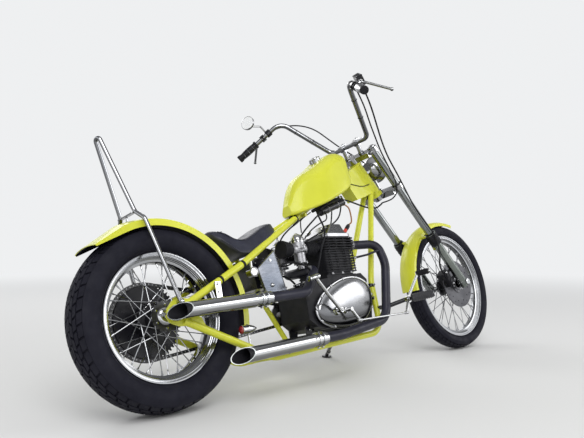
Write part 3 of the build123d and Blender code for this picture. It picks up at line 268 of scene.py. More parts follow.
class Finish(Web):
    """A material made of a Principled shader and the few nodes that feed it."""

    def __init__(self, name, rough=0.5, metal=0, coat=0, coat_rough=0.05, specular=0.5, sheen=0):
        self.material = bpy.data.materials.new(name)
        self.material.use_nodes = True
        super().__init__(self.material.node_tree)
        self.shader = self.tree.nodes["Principled BSDF"]
        plain = {
            "Metallic": metal, "Roughness": rough, "Coat Weight": coat, "Coat Roughness": coat_rough,
            "Specular IOR Level": specular, "Sheen Weight": sheen,
        }
        for socket, value in plain.items():
            self.shader.inputs[socket].default_value = value
        self.place = self.add("TexCoord", {}, "Object")

    def stretched(self, scale):
        """Object coordinates scaled by a vector."""
        return self.add("Mapping", {"Scale": scale, "Vector": self.place})

    def noise(self, scale, detail=4, rough=0.5, where=None):
        sockets = {"Scale": scale, "Detail": detail, "Roughness": rough, "Vector": where or self.place}
        return self.add("TexNoise", sockets, "Fac")

    def cells(self, scale, feature="DISTANCE_TO_EDGE"):
        return self.add("TexVoronoi", {"Scale": scale, "Vector": self.place}, "Distance", feature=feature)

    def painted_reflection_by_facing(self, greys):
        """Painted reflection: greys by how far a surface faces up, standing in for the ground and the sky
        that plating mirrors.
        """
        height = self.add("SeparateXYZ", {0: self.add("NewGeometry", {}, "Normal")}, "Z")
        spread = self.span(height, 0, 1, -1, 1)
        return self.ramp(spread, [(position, (grey, grey, grey)) for position, grey in greys])

    def times(self, a, b):
        return self.add("Mix", {0: 1, 6: a, 7: b}, 2, data_type="RGBA", blend_type="MULTIPLY")

    def feed(self, colour, roughness, height, depth, strength):
        """Feeds the shader its colour, its gloss and its bumps, and gives the material."""
        self.link(colour, self.shader.inputs["Base Color"])
        if roughness:
            self.link(roughness, self.shader.inputs["Roughness"])
        bump = self.add("Bump", {"Strength": strength, "Distance": depth, "Height": height})
        self.link(bump, self.shader.inputs["Normal"])
        self.link(bump, self.shader.inputs["Coat Normal"])
        return self.material


def yellow_paint(name, low, high):
    """Lemon enamel under clear coat, a little uneven in colour, with fine orange peel."""
    f = Finish(name, rough=0.32, coat=0.35, coat_rough=0.1, specular=0.3)
    colour = f.ramp(f.noise(5, 3), [(0.35, low), (0.65, high)])
    return f.feed(colour, f.span(f.noise(14, 5), 0.26, 0.42), f.noise(420, 2), 0.0003, 0.12)


def metal(name, low, high, rough_low, rough_high, grain, greys=None, depth=0.0002, stretch=(1, 1, 1)):
    """Bare or plated metal with smudges in its gloss and a faint grain; where greys are given, a painted
    reflection by how far each face looks up is multiplied into its colour.
    """
    f = Finish(name, metal=1)
    body = f.ramp(f.noise(9, 3), [(0.3, low), (0.7, high)])
    # Painted reflection: the colour is made lighter or darker by how far the surface faces up
    colour = f.times(body, f.painted_reflection_by_facing(greys)) if greys else body
    gloss = f.span(f.noise(grain, 6, 0.6, f.stretched(stretch)), rough_low, rough_high)
    return f.feed(colour, gloss, f.noise(grain * 9, 3, 0.5, f.stretched(stretch)), depth, 0.15)


def coated(name, low, high, rough_low, rough_high, grain=160, depth=0.0004, coat=0, specular=0.5):
    """Paint, plastic or rubber: two close colours, uneven gloss and a fine surface texture."""
    f = Finish(name, coat=coat, specular=specular)
    colour = f.ramp(f.noise(18, 4), [(0.3, low), (0.7, high)])
    gloss = f.span(f.noise(40, 5), rough_low, rough_high)
    return f.feed(colour, gloss, f.noise(grain, 4), depth, 0.35)


def leather(name):
    """Navy-black vinyl leather: pebbled grain, soft sheen and creases."""
    f = Finish(name, rough=0.4, specular=0.5, sheen=0.05)
    colour = f.ramp(f.noise(22, 5), [(0.3, (0.012, 0.013, 0.026)), (0.7, (0.024, 0.026, 0.045))])
    return f.feed(colour, f.span(f.noise(30, 5), 0.3, 0.48), f.cells(900), 0.0006, 0.35)


def tyre_rubber(name):
    """Tyre rubber: charcoal with lighter dusty patches at random and a dull side wall."""
    f = Finish(name, rough=0.7, specular=0.16)
    stops = [(0.3, (0.008, 0.008, 0.014)), (0.62, (0.013, 0.013, 0.021)), (0.85, (0.022, 0.021, 0.026))]
    colour = f.ramp(f.noise(12, 6, 0.6), stops)
    return f.feed(colour, f.span(f.noise(35, 5), 0.5, 0.78), f.noise(500, 4), 0.0004, 0.4)


def lens(name, low, high, rough):
    """A clear coloured lens over a bright reflector: each moulded facet is brighter at its middle, a painted
    reflection of the reflector.
    """
    f = Finish(name, rough=rough, coat=1, coat_rough=0.02, specular=0.6)
    # Painted reflection: the high colour at each facet's middle stands in for the reflector's glint
    colour = f.ramp(f.cells(260, "F1"), [(0.1, high), (0.6, low)])
    return f.feed(colour, None, f.cells(260, "F1"), 0.0012, 0.5)


# Painted reflection greys: how bright a metal is painted by how far it faces up, standing in for the mirrored
# ground and sky, as (height, grey)
PLATED_PAINTED_REFLECTION = [
    (0, 0.16), (0.28, 0.26), (0.42, 0.38), (0.5, 0.82), (0.62, 0.92), (0.74, 0.52), (0.88, 0.46), (1, 0.85),
]
POLISHED_PAINTED_REFLECTION = [(0, 0.08), (0.36, 0.12), (0.54, 0.2), (0.62, 0.36), (0.72, 0.52), (0.86, 0.74), (1, 0.9)]
WHEEL = [
    (0, 0.12), (0.28, 0.18), (0.42, 0.3), (0.5, 0.54), (0.62, 0.64), (0.74, 0.36), (0.88, 0.34), (1, 0.76),
]
SATIN_PAINTED_REFLECTION = [(0, 0.06), (0.4, 0.14), (0.56, 0.34), (0.66, 0.62), (0.8, 0.4), (1, 0.74)]

# Metals: name, low and high colour, low and high roughness, grain, painted reflection greys by height, bump
# depth, stretch
METALS = {
    "chrome": ("chrome_plate", (0.86, 0.88, 0.9), (0.96, 0.96, 0.96), 0.05, 0.12, 24, PLATED_PAINTED_REFLECTION),
    "wheel_chrome": ("wheel_chrome", (0.82, 0.84, 0.88), (0.92, 0.93, 0.95), 0.08, 0.16, 30, WHEEL),
    "old_chrome": ("worn_chrome", (0.62, 0.64, 0.66), (0.8, 0.8, 0.8), 0.12, 0.26, 40, PLATED_PAINTED_REFLECTION),
    "dark_chrome": ("dark_chrome", (0.2, 0.22, 0.22), (0.3, 0.31, 0.31), 0.1, 0.22, 30),
    "leg_metal": ("polished_dark_leg", (0.16, 0.18, 0.17), (0.24, 0.26, 0.24), 0.16, 0.3, 30),
    "alloy": ("polished_alloy", (0.78, 0.8, 0.84), (0.92, 0.92, 0.94), 0.12, 0.24, 50, POLISHED_PAINTED_REFLECTION),
    "cast_alloy": ("cast_alloy", (0.34, 0.34, 0.36), (0.46, 0.46, 0.48), 0.34, 0.5, 70, None, 0.0006),
    "steel": ("bare_steel", (0.34, 0.34, 0.35), (0.48, 0.48, 0.5), 0.24, 0.4, 60, None, 0.0002, (1, 6, 1)),
    "dark_steel": ("oiled_steel", (0.06, 0.06, 0.07), (0.12, 0.12, 0.12), 0.3, 0.48, 80),
    "disc_steel": ("disc_steel", (0.07, 0.07, 0.078), (0.14, 0.14, 0.15), 0.28, 0.42, 60),
    "panel_steel": (
        "brushed_panel", (0.11, 0.125, 0.155), (0.23, 0.24, 0.265), 0.22, 0.36, 26, None, 0.0002, (1, 1, 7),
    ),
    "satin_alloy": ("satin_alloy", (0.52, 0.53, 0.56), (0.72, 0.72, 0.74), 0.18, 0.34, 50, SATIN_PAINTED_REFLECTION),
}

# Coatings: name, low and high colour, low and high roughness, grain, its depth, clear coat, specular
COATINGS = {
    "black_paint": (
        "black_paint", (0.006, 0.006, 0.009), (0.012, 0.012, 0.016), 0.24, 0.38, 300, 0.0002, 0.25, 0.3,
    ),
    "engine_black": (
        "engine_black", (0.006, 0.006, 0.008), (0.014, 0.014, 0.018), 0.4, 0.6, 420, 0.0005, 0, 0.25,
    ),
    "header_black": (
        "header_black", (0.01, 0.01, 0.02), (0.02, 0.02, 0.036), 0.34, 0.5, 220, 0.0004, 0, 0.35,
    ),
    "rubber": ("black_rubber", (0.007, 0.007, 0.009), (0.014, 0.014, 0.017), 0.5, 0.7, 500, 0.0004, 0, 0.25),
    "grey_rubber": ("grey_rubber", (0.035, 0.035, 0.04), (0.06, 0.06, 0.066), 0.45, 0.65, 400),
    "clear_lens": ("headlamp_glass", (0.5, 0.52, 0.55), (0.6, 0.62, 0.64), 0.06, 0.1, 60, 0.00002, 1),
    "red_ring": ("red_rubber_ring", (0.5, 0.02, 0.01), (0.62, 0.04, 0.02), 0.35, 0.5),
    # The mirror's near-white colour is a painted reflection of the sky, not the glass's own colour
    "mirror_painted_sky": ("mirror_painted_sky", (0.92, 0.93, 0.94), (0.95, 0.95, 0.95), 0.2, 0.26, 10, 0.00002, 1),
    "wire_orange": ("orange_wire", (0.26, 0.1, 0.03), (0.36, 0.15, 0.05), 0.4, 0.55),
}


FINISH = {
    "yellow": yellow_paint("yellow_enamel", (0.6, 0.62, 0.035), (0.68, 0.7, 0.05)),
    "leather": leather("seat_leather"),
    "tyre": tyre_rubber("tyre_rubber"),
    "red_lens": lens("red_lens", (0.22, 0.003, 0.006), (0.48, 0.01, 0.016), 0.12),
}
FINISH.update({finish: metal(*row) for finish, row in METALS.items()})
FINISH.update({finish: coated(*row) for finish, row in COATINGS.items()})

CAD_FINISH = {
    "yellow": "steering_head backbone_tube neck_gusset seat_stays downtubes lower_rails frame_cross_tubes "
              "fuel_tank",
    "wheel_chrome": "sissy_bar handlebar",
    "chrome": "fuel_cap muffler_upper muffler_lower rear_axle brake_pedal gear_pedal fork_clamps headlamp "
              "mirror front_axle rear_rim_and_spokes front_rim_and_spokes horn tail_lamp kick_lever",
    "old_chrome": "hand_controls",
    "dark_chrome": "fork_tubes",
    "leg_metal": "fork_sliders",
    "black_paint": "battery_box ignition_coil engine_mounts footpegs rear_sprocket side_stand",
    "header_black": "exhaust_header_front exhaust_header_rear",
    "engine_black": "cylinder_block cylinder_head crankcase alternator_cover rear_hub front_caliper "
                    "front_hub",
    "alloy": "clutch_cover",
    "satin_alloy": "rocker_cover",
    "cast_alloy": "carburettors",
    "panel_steel": "side_panel",
    "disc_steel": "front_brake_disc",
    "steel": "engine_sprocket",
    "dark_steel": "drive_chain",
    "rubber": "intake_rubbers grips",
    "leather": "seat",
    "tyre": "rear_tyre front_tyre",
}


def dress(name, *finishes):
    """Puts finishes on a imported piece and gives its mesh."""
    mesh = nodes[name].data
    mesh.materials.clear()
    for finish in finishes:
        mesh.materials.append(FINISH[finish])
    return mesh


def faces_on_machine(name, *finishes):
    """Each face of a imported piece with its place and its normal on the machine."""
    to_machine = BIKE.inverted() @ nodes[name].matrix_world
    turn = to_machine.to_3x3()
    for face in dress(name, *finishes).polygons:
        yield face, to_machine @ face.center, (turn @ face.normal).normalized()


def dress_guard(name, axle):
    """A mudguard: yellow outside and black on the faces that look at the wheel."""
    for face, spot, facing in faces_on_machine(name, "yellow", "engine_black"):
        inward = axle - spot
        inward.y = 0
        inner_side = abs(facing.y) > 0.9 and facing.y * spot.y < 0
        toward_wheel = facing.dot(inward.normalized()) > 0.5
        face.material_index = 1 if toward_wheel or inner_side else 0


def dress_muffler(name, tail, front):
    """A muffler: black inside, with a dull rim round its slash cut."""
    bore_r = 29
    on_the_cut = 0.985
    ahead = (front - tail).normalized()
    cut = -Vector((0.6, 0.757, -0.26)).normalized()
    for face, place, facing in faces_on_machine(name, "chrome", "engine_black", "dark_chrome"):
        spot = place - tail
        radial = spot - ahead * spot.dot(ahead)
        if facing.dot(cut) > on_the_cut:
            face.material_index = 2
        elif radial.length < bore_r and facing.dot(radial) < -0.5 * radial.length:
            face.material_index = 1


# Cables

def cable(name, node, points, diameter, finish):
    """A cable held at both ends: a smooth line with the route's points as its control points."""
    curve = bpy.data.curves.new(name, "CURVE")
    curve.dimensions = "3D"
    line = curve.splines.new("NURBS")
    line.points.add(len(points) - 1)
    placed = [BIKE @ Vector(p) for p in points]
    for point, place in zip(line.points, placed):
        point.co = (*place, 1)
    line.order_u = 3
    line.use_endpoint_u = True
    line.resolution_u = 8
    curve.bevel_depth = diameter / 2
    curve.bevel_resolution = 3
    curve.materials.append(FINISH[finish])
    thing = in_scene(name, curve)
    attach(thing, "steering")
    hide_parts(node)


CABLES = {
    # length and diameter in metres, then the route in machine millimetres
    "throttle_cable": (0.78, 0.007, [
        (968, -330, 1237), (996, -322, 1204), (1046, -298, 1166), (1116, -254, 1122), (1196, -208, 1078),
        (1268, -168, 1030), (1326, -150, 966), (1366, -150, 886),
        fork(668, -14, -136), fork(642, -16, -96), fork(632, -6, -48), fork(632, 0, 0),
    ]),
    "handlebar_lead": (0.62, 0.007, [
        (978, 347, 1265), (1001, 316, 1289), (1066, 283, 1312), (1142, 236, 1312), (1208, 188, 1278),
        (1250, 144, 1210), (1282, 100, 1146), (1310, 62, 1100), (1338, 34, 1062), (1362, 14, 1030),
    ]),
    "brake_hose": (1.17, 0.008, [
        (1017, -328, 1271), (1041, -322, 1240), (1098, -296, 1180), (1172, -250, 1122), (1254, -198, 1066),
        (1330, -160, 1002), (1392, -148, 928), (1434, -147, 842), (1478, -146, 756), (1540, -147, 676),
        (1604, -146, 606), (1636, -138, 540), (1662, -112, 480), (1683, -80, 437), (1707, -80, 405.4),
    ]),
}
for node_name, (metres, thickness, route) in CABLES.items():
    cable(node_name + "_line", node_name, route, thickness, "rubber")


# Small forms, gathered in machine millimetres

def basis(axis):
    """Two directions square to an axis, and the axis itself."""
    z = Vector(axis).normalized()
    x = z.orthogonal().normalized()
    if abs(z.y) < 0.9:
        x = ACROSS - z * ACROSS.dot(z)
        x.normalize()
    return x, z.cross(x), z


def circle(centre, x, y, r, count):
    """Points round a circle that lies along x and y."""
    return [centre + (x * math.cos(a) + y * math.sin(a)) * r for a in turns(count)]


def on_curve(p0, p1, p2, p3, t):
    """A point between p1 and p2 of the smooth curve through four points."""
    a = p1 * 2 + (p2 - p0) * t
    b = (p0 * 2 - p1 * 5 + p2 * 4 - p3) * t * t
    c = (p1 * 3 - p0 - p2 * 3 + p3) * t * t * t
    return (a + b + c) * 0.5


def smooth_path(points, steps):
    """A curve through the points, with a few straight steps to each span."""
    points = [Vector(p) for p in points]
    ends = [points[0] * 2 - points[1]] + points + [points[-1] * 2 - points[-2]]
    path = []
    for i in range(1, len(ends) - 2):
        path += [on_curve(*ends[i - 1:i + 3], step / steps) for step in range(steps)]
    path.append(points[-1])
    return path


def band(inner, outer, length):
    """The profile of a plain collar."""
    return [(0, inner), (0, outer), (length, outer), (length, inner)]


class Form:
    """A mesh gathered from turned, swept and flat forms, that rides on one body."""

    def __init__(self, name, body, *replaced):
        self.name = name
        self.body = body
        self.replaced = replaced
        self.points = []
        self.faces = []
        self.marks = []
        self.finishes = []

    def add(self, points, faces, finish):
        if finish not in self.finishes:
            self.finishes.append(finish)
        base = len(self.points)
        self.points += points
        self.faces += [tuple(base + i for i in face) for face in faces]
        self.marks += [self.finishes.index(finish)] * len(faces)

    def skin(self, rings, finish, close=False):
        """A skin over rings that have the same number of points."""
        count = len(rings[0])
        total = len(rings)
        faces = []
        for i in range(total if close else total - 1):
            a = i * count
            b = ((i + 1) % total) * count
            for j in range(count):
                k = (j + 1) % count
                faces.append((a + j, a + k, b + k, b + j))
        if not close:
            faces.append(tuple(range(count - 1, -1, -1)))
            faces.append(tuple(range(count * (total - 1), count * total)))
        self.add([p for ring in rings for p in ring], faces, finish)

    def lathe(self, origin, axis, profile, finish, seg=24, close=False):
        """A profile of (distance along, radius) turned about an axis."""
        x, y, z = basis(axis)
        origin = Vector(origin)
        self.skin([circle(origin + z * s, x, y, max(r, 0.05), seg) for s, r in profile], finish, close)

    def tube(self, path, radius, finish, seg=10, steps=0):
        """A round bar along a path, through curves where steps is given."""
        path = smooth_path(path, steps) if steps else [Vector(p) for p in path]
        side = None
        rings = []
        for i, point in enumerate(path):
            ahead = (path[min(i + 1, len(path) - 1)] - path[max(i - 1, 0)]).normalized()
            if side is None:
                side = basis(ahead)[0]
            side = (side - ahead * side.dot(ahead)).normalized()
            rings.append(circle(point, side, ahead.cross(side), radius, seg))
        self.skin(rings, finish)

    def hose(self, radius, *path):
        self.tube(path, radius, "rubber", 10, 6)

    def block(self, centre, axes, size, finish, edge=1):
        """A box with chamfered ends along its third axis."""
        x, y, z = [Vector(a).normalized() for a in axes]
        centre = Vector(centre)
        rings = []
        for s, inset in ((-1, edge), (-1, 0), (1, 0), (1, edge)):
            depth = s * (size[2] / 2 - (edge if inset == 0 else 0))
            half_x = size[0] / 2 - inset
            half_y = size[1] / 2 - inset
            corners = ((-half_x, -half_y), (half_x, -half_y), (half_x, half_y), (-half_x, half_y))
            rings.append([centre + x * a + y * b + z * depth for a, b in corners])
        self.skin(rings, finish)

    def bolt(self, place, axis, r=6, h=5, finish="chrome"):
        """A hexagon head on a washer."""
        self.lathe(place, axis, [(-1, r * 1.25), (0.8, r * 1.25), (1.4, r * 1.15)], finish, 14)
        self.lathe(place, axis, [(1, r), (h, r), (h + 0.8, r * 0.85)], finish, 6)

    def dome(self, place, axis, r=6, h=6, finish="chrome", seg=14):
        """A round cap nut or screw head."""
        profile = [(-1, r), (h * 0.3, r), (h * 0.65, r * 0.86), (h * 0.9, r * 0.5), (h, r * 0.1)]
        self.lathe(place, axis, profile, finish, seg)

    def torus(self, origin, axis, ring_r, r, finish, seg=32, sides=8):
        profile = [(r * math.sin(a), ring_r + r * math.cos(a)) for a in turns(sides)]
        self.lathe(origin, axis, profile, finish, seg, close=True)

    def plate(self, outline, y_low, y_high, finish, edge=1):
        """A flat plate in the machine's side view, its edges eased."""
        middle_x = sum(p[0] for p in outline) / len(outline)
        middle_z = sum(p[1] for p in outline) / len(outline)
        rings = []
        for y, inset in ((y_low, edge), (y_low + edge, 0), (y_high - edge, 0), (y_high, edge)):
            ring = []
            for x, z in outline:
                toward = Vector((middle_x - x, 0, middle_z - z)).normalized()
                ring.append(Vector((x, y, z)) + toward * inset)
            rings.append(ring)
        self.skin(rings, finish)

    def make(self, crease=35):
        mesh = bpy.data.meshes.new(self.name)
        mesh.from_pydata([BIKE @ p for p in self.points], [], self.faces)
        for finish in self.finishes:
            mesh.materials.append(FINISH[finish])
        mesh.polygons.foreach_set("material_index", self.marks)
        builder = bmesh.new()
        builder.from_mesh(mesh)
        bmesh.ops.recalc_face_normals(builder, faces=builder.faces)
        builder.to_mesh(mesh)
        builder.free()
        mesh.polygons.foreach_set("use_smooth", [True] * len(mesh.polygons))
        mesh.set_sharp_from_angle(angle=math.radians(crease))
        thing = in_scene(self.name, mesh)
        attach(thing, self.body)
        if self.replaced:
            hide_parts(*self.replaced)
        return thing


# Wheels

def near(angle, other):
    """An angle shifted by whole turns to within half a turn of another."""
    return angle - 2 * math.pi * round((angle - other) / (2 * math.pi))


def arc(a, b, c, count):
    """Points on the circle through three (y, r) points, from a to c."""
    (ax, ay), (bx, by), (cx, cy) = a, b, c
    aa, bb, cc = (x * x + y * y for x, y in (a, b, c))
    d = 2 * (ax * (by - cy) + bx * (cy - ay) + cx * (ay - by))
    ux = (aa * (by - cy) + bb * (cy - ay) + cc * (ay - by)) / d
    uy = (aa * (cx - bx) + bb * (ax - cx) + cc * (bx - ax)) / d
    radius = math.hypot(ax - ux, ay - uy)
    first, middle, last = (math.atan2(y - uy, x - ux) for x, y in (a, b, c))
    last = near(last, near(middle, first))
    angles = [first + (last - first) * i / (count - 1) for i in range(count)]
    return [(ux + radius * math.cos(t), uy + radius * math.sin(t)) for t in angles]


def tyre(end, centre, outer_r, width, rim_r, rim_w, rows, pitches, groove):
    """A tyre: side walls with moulded rings, a sunk crown and rows of tread blocks."""
    form = Form(end + "_tyre_treaded", end + "_wheel", end + "_tyre")
    shoulder_y = width * 0.43
    shoulder_r = outer_r - 0.16 * (outer_r - rim_r) - 4
    sag = outer_r - shoulder_r
    bend_r = (shoulder_y ** 2 + sag ** 2) / (2 * sag)

    def crown_point(lean, sink):
        """Across and out from the axle, at a lean of the crown's radius."""
        return (bend_r - sink) * math.sin(lean), outer_r - bend_r + (bend_r - sink) * math.cos(lean)

    def tread_point(y, angle, sink):
        across, r = crown_point(math.asin(y / bend_r), sink)
        return centre + polar(r, angle, across)

    side_r = rim_r + 0.42 * (outer_r - rim_r)
    bead_y = rim_w / 2 - 3.5
    inner_y = bead_y - 9
    heel_r = rim_r - 12
    wall = arc((shoulder_y, shoulder_r), (width / 2, side_r), (bead_y, rim_r + 2), 15)
    ring_rise = 1.1
    ringed = (4, 5, 11)
    shaped = [(y + (ring_rise if i in ringed else 0), r) for i, (y, r) in enumerate(wall)]
    lean = math.asin(shoulder_y / bend_r)
    crown = [crown_point(-lean + 2 * lean * i / 8, groove) for i in range(9)]
    inner = arc((-inner_y, rim_r + 4), (0, outer_r - 16), (inner_y, rim_r + 4), 9)
    loop = [(-y, r) for y, r in reversed(shaped)] + crown + shaped
    loop += [(bead_y, heel_r), (inner_y, heel_r)]
    loop += inner[::-1] + [(-inner_y, heel_r), (-bead_y, heel_r)]
    form.lathe(centre, ACROSS, loop, "tyre", 128, close=True)
    for low, high, shift, fill, slant in rows:
        for a in turns(pitches, shift):
            b = a + 2 * math.pi * fill / pitches
            lag = slant / outer_r
            corners = ((low, a), (high, a + lag), (high, b + lag), (low, b))
            sinks = (0, 1.6, groove + 1)
            top, under, foot = ([tread_point(y, t, sink) for y, t in corners] for sink in sinks)
            middle = sum(top, Vector()) / 4
            form.skin([foot, under, [between(p, middle, 0.07) for p in top]], "tyre")
    form.make(40)


REAR_ROWS = [
    # low and high distance across, shift and fill in pitches, slant in millimetres
    (-66, -45, 0, 0.84, 7),
    (-42, -27, 0.42, 0.84, 9),
    (-24, -9, 0, 0.86, -9),
    (-6, 6, 0.3, 0.92, 4),
    (9, 24, 0.5, 0.86, 9),
    (27, 42, 0.08, 0.84, -9),
    (45, 66, 0.5, 0.84, -7),
]
FRONT_ROWS = [
    (-36, -22, 0, 0.84, 5),
    (-19, -8, 0.4, 0.88, -5),
    (-5.5, 5.5, 0.15, 0.96, 3),
    (8, 19, 0.5, 0.88, 5),
    (22, 36, 0.1, 0.84, -5),
]


def rim_and_spokes(end, centre, rim_r, rim_w, hub_r, right_y, left_y):
    """A chromed drop-centre rim with rolled lips, and crossed round spokes in nipples."""
    form = Form(end + "_rim_laced", end + "_wheel", end + "_rim_and_spokes")
    finish = "wheel_chrome"
    half = rim_w / 2
    seat_r = rim_r - 13
    well_r = seat_r - 16
    outside = [
        (half - 1.2, rim_r), (half - 3.2, rim_r - 1.5), (half - 3.2, seat_r), (half * 0.62, seat_r - 2),
        (half * 0.4, well_r),
    ]
    inside = [
        (half * 0.36, well_r - 3.2), (half * 0.48, well_r - 1.5), (half * 0.54, seat_r - 9),
        (half * 0.64, seat_r - 8.4), (half * 0.67, seat_r - 5.4), (half * 0.78, seat_r - 5),
        (half * 0.81, seat_r - 2.2), (half * 0.9, seat_r - 1.8), (half * 0.92, seat_r + 2),
        (half - 2.6, seat_r + 2.6), (half - 2, seat_r + 6), (half + 0.4, seat_r + 6.6),
        (half + 0.8, rim_r - 4), (half + 0.6, rim_r - 1),
    ]
    loop = outside + [(-y, r) for y, r in reversed(outside)]
    loop += [(-y, r) for y, r in reversed(inside)] + inside
    form.lathe(centre, ACROSS, loop, finish, 112, close=True)
    spokes = 40
    swing = math.radians(62)
    for index, rim_angle in enumerate(turns(spokes, 0.5)):
        flange_y = right_y if index % 2 else left_y
        side = 1 if (index // 2) % 2 else -1
        start = centre + polar(hub_r - 5, rim_angle + side * swing, flange_y + side * 3)
        foot = centre + polar(well_r - 2.2, rim_angle, 7 if flange_y > 0 else -7)
        form.tube([start, foot], 1.9, finish, 8)
        back = (start - foot).normalized()
        form.lathe(foot, back, [(-1, 4.2), (4, 4), (5, 3), (17, 2.8), (19, 2.1)], finish, 8)
        form.dome(start - back * 0.5, ACROSS * side, 3, 2.4, finish, 8)
    form.make(32)


def scallops(form, centre, y, ring_r, lobe, thick):
    """A scalloped flange: lobes round a ring, one for each pair of spokes."""
    lobes = 20
    outline = [(a, ring_r + lobe * abs(math.sin(a * lobes / 2)) ** 0.7) for a in turns(lobes * 6)]
    rings = []
    for depth, inset in ((-thick / 2, 1), (-thick / 2 + 1, 0), (thick / 2 - 1, 0), (thick / 2, 1)):
        rings.append([centre + polar(q - inset, a, y + depth) for a, q in outline])
    form.skin(rings, "dark_steel")


def wheels():
    """Both tyres and laced rims, and what is bolted to the hubs."""
    tyre("rear", REAR_AXLE, REAR_R, 156, 232, 98, REAR_ROWS, 46, 6)
    tyre("front", FRONT_AXLE, FRONT_R, 90, 280.5, 62, FRONT_ROWS, 66, 4.5)
    rim_and_spokes("rear", REAR_AXLE, 232, 98, 54, -46, 44)
    rim_and_spokes("front", FRONT_AXLE, 280.5, 62, 48, -34, 34)
    form = Form("rear_hub_fittings", "rear_wheel")
    scallops(form, REAR_AXLE, -50, 50, 7, 5)
    scallops(form, REAR_AXLE, 48.5, 50, 7, 5)
    form.lathe(REAR_AXLE + RIGHT * 50.4, RIGHT, [(-2, 38), (0, 33), (5, 33), (9, 30), (13, 23), (14, 15)],
               "chrome", 40)
    for a in turns(6, 0.5):
        form.bolt(REAR_AXLE + polar(42, a, -52.5), RIGHT, 4, 4)
        form.bolt(REAR_AXLE + polar(54, a, 97.5), ACROSS, 5, 5, "steel")
    sprocket_face = [(-2, 134), (1.5, 133), (1.5, 64)]
    form.lathe(REAR_AXLE + ACROSS * 82, RIGHT, sprocket_face, "black_paint", 64)
    form.make()
    form = Form("front_hub_fittings", "front_wheel")
    scallops(form, FRONT_AXLE, -38, 43.5, 6, 4)
    scallops(form, FRONT_AXLE, 38, 43.5, 6, 4)
    for a in turns(6, 0.25):
        form.dome(FRONT_AXLE + polar(44, a, -69.5), RIGHT, 5, 4, "steel", 6)
    form.torus(FRONT_AXLE + ACROSS * -70, ACROSS, 34, 2.2, "alloy", 32)
    form.torus(FRONT_AXLE + ACROSS * 38.6, ACROSS, 24, 2.2, "chrome", 32)
    form.make()


# Drive chain

def chain():
    """Roller chain links round both sprockets, as outer and inner plates with rollers."""
    form = Form("drive_chain_links", "frame", "drive_chain")
    small = Vector((655, 90, 300))
    big = Vector((0, 90, REAR_R))
    pitch = 15.875
    plate_r, plate_half = 6.2, 0.7
    inner_y, outer_y = 4.2, 5.9
    small_teeth, big_teeth = 17, 56
    small_r = pitch / 2 / math.sin(math.pi / small_teeth)
    big_r = pitch / 2 / math.sin(math.pi / big_teeth)
    gap = big - small
    tilt = math.atan2(gap.z, gap.x)
    spread = math.acos((big_r - small_r) / gap.length)
    straight = math.sqrt(gap.length ** 2 - (big_r - small_r) ** 2)
    big_arc = 2 * (math.pi - spread) * big_r
    small_arc = 2 * spread * small_r
    length = 2 * straight + big_arc + small_arc
    links = int(round(length / pitch / 2)) * 2
    upper = tilt + math.pi - spread
    lower = tilt - (math.pi - spread)

    def along(s):
        """The point a distance along the chain's middle line."""
        if s < big_arc:
            return big + polar(big_r, lower + s / big_r)
        s -= big_arc
        if s < straight:
            return between(big + polar(big_r, upper), small + polar(small_r, upper), s / straight)
        s -= straight
        if s < small_arc:
            return small + polar(small_r, upper + s / small_r)
        s -= small_arc
        return between(small + polar(small_r, lower), big + polar(big_r, lower), min(1, s / straight))

    pins = [along(length * i / links) for i in range(links)]
    for i, pin in enumerate(pins):
        after = pins[(i + 1) % links]
        ahead = (after - pin).normalized()
        across = ahead.cross(ACROSS)
        plate_y = outer_y if i % 2 else inner_y
        for y in (-plate_y, plate_y):
            rings = []
            for depth in (-plate_half, plate_half):
                ring = []
                for end, turn in ((after, -math.pi / 2), (pin, math.pi / 2)):
                    for step in range(5):
                        a = turn + math.pi * step / 4
                        round_end = ahead * (math.cos(a) * plate_r) + across * (math.sin(a) * plate_r)
                        ring.append(end + round_end + ACROSS * (y + depth))
                rings.append(ring)
            form.skin(rings, "dark_steel")
        # The pin and its roller
        for half_w, r, seg in ((6.8, 2.4, 6), (3.4, 5, 8)):
            form.lathe(pin, ACROSS, [(-half_w, r), (half_w, r)], "steel", seg)
    form.make()


# Seat

SEAT_ROWS = [
    # x, half width at the foot and at the top, foot z, edge z, crown above the edge
    (257, 26, 16, 622, 636, 4),
    (262, 42, 30, 612, 640, 8),
    (282, 62, 44, 592, 642, 10),
    (310, 78, 56, 566, 630, 6),
    (345, 88, 64, 536, 608, 2),
    (375, 90, 68, 530, 602, 2),
    (405, 90, 68, 532, 606, 4),
    (445, 86, 66, 550, 625, 8),
    (485, 82, 62, 572, 647, 9),
    (525, 75, 56, 592, 664, 9),
    (556, 66, 48, 612, 674, 7),
    (579, 54, 38, 630, 678, 4),
    (588, 34, 22, 642, 668, 2),
]


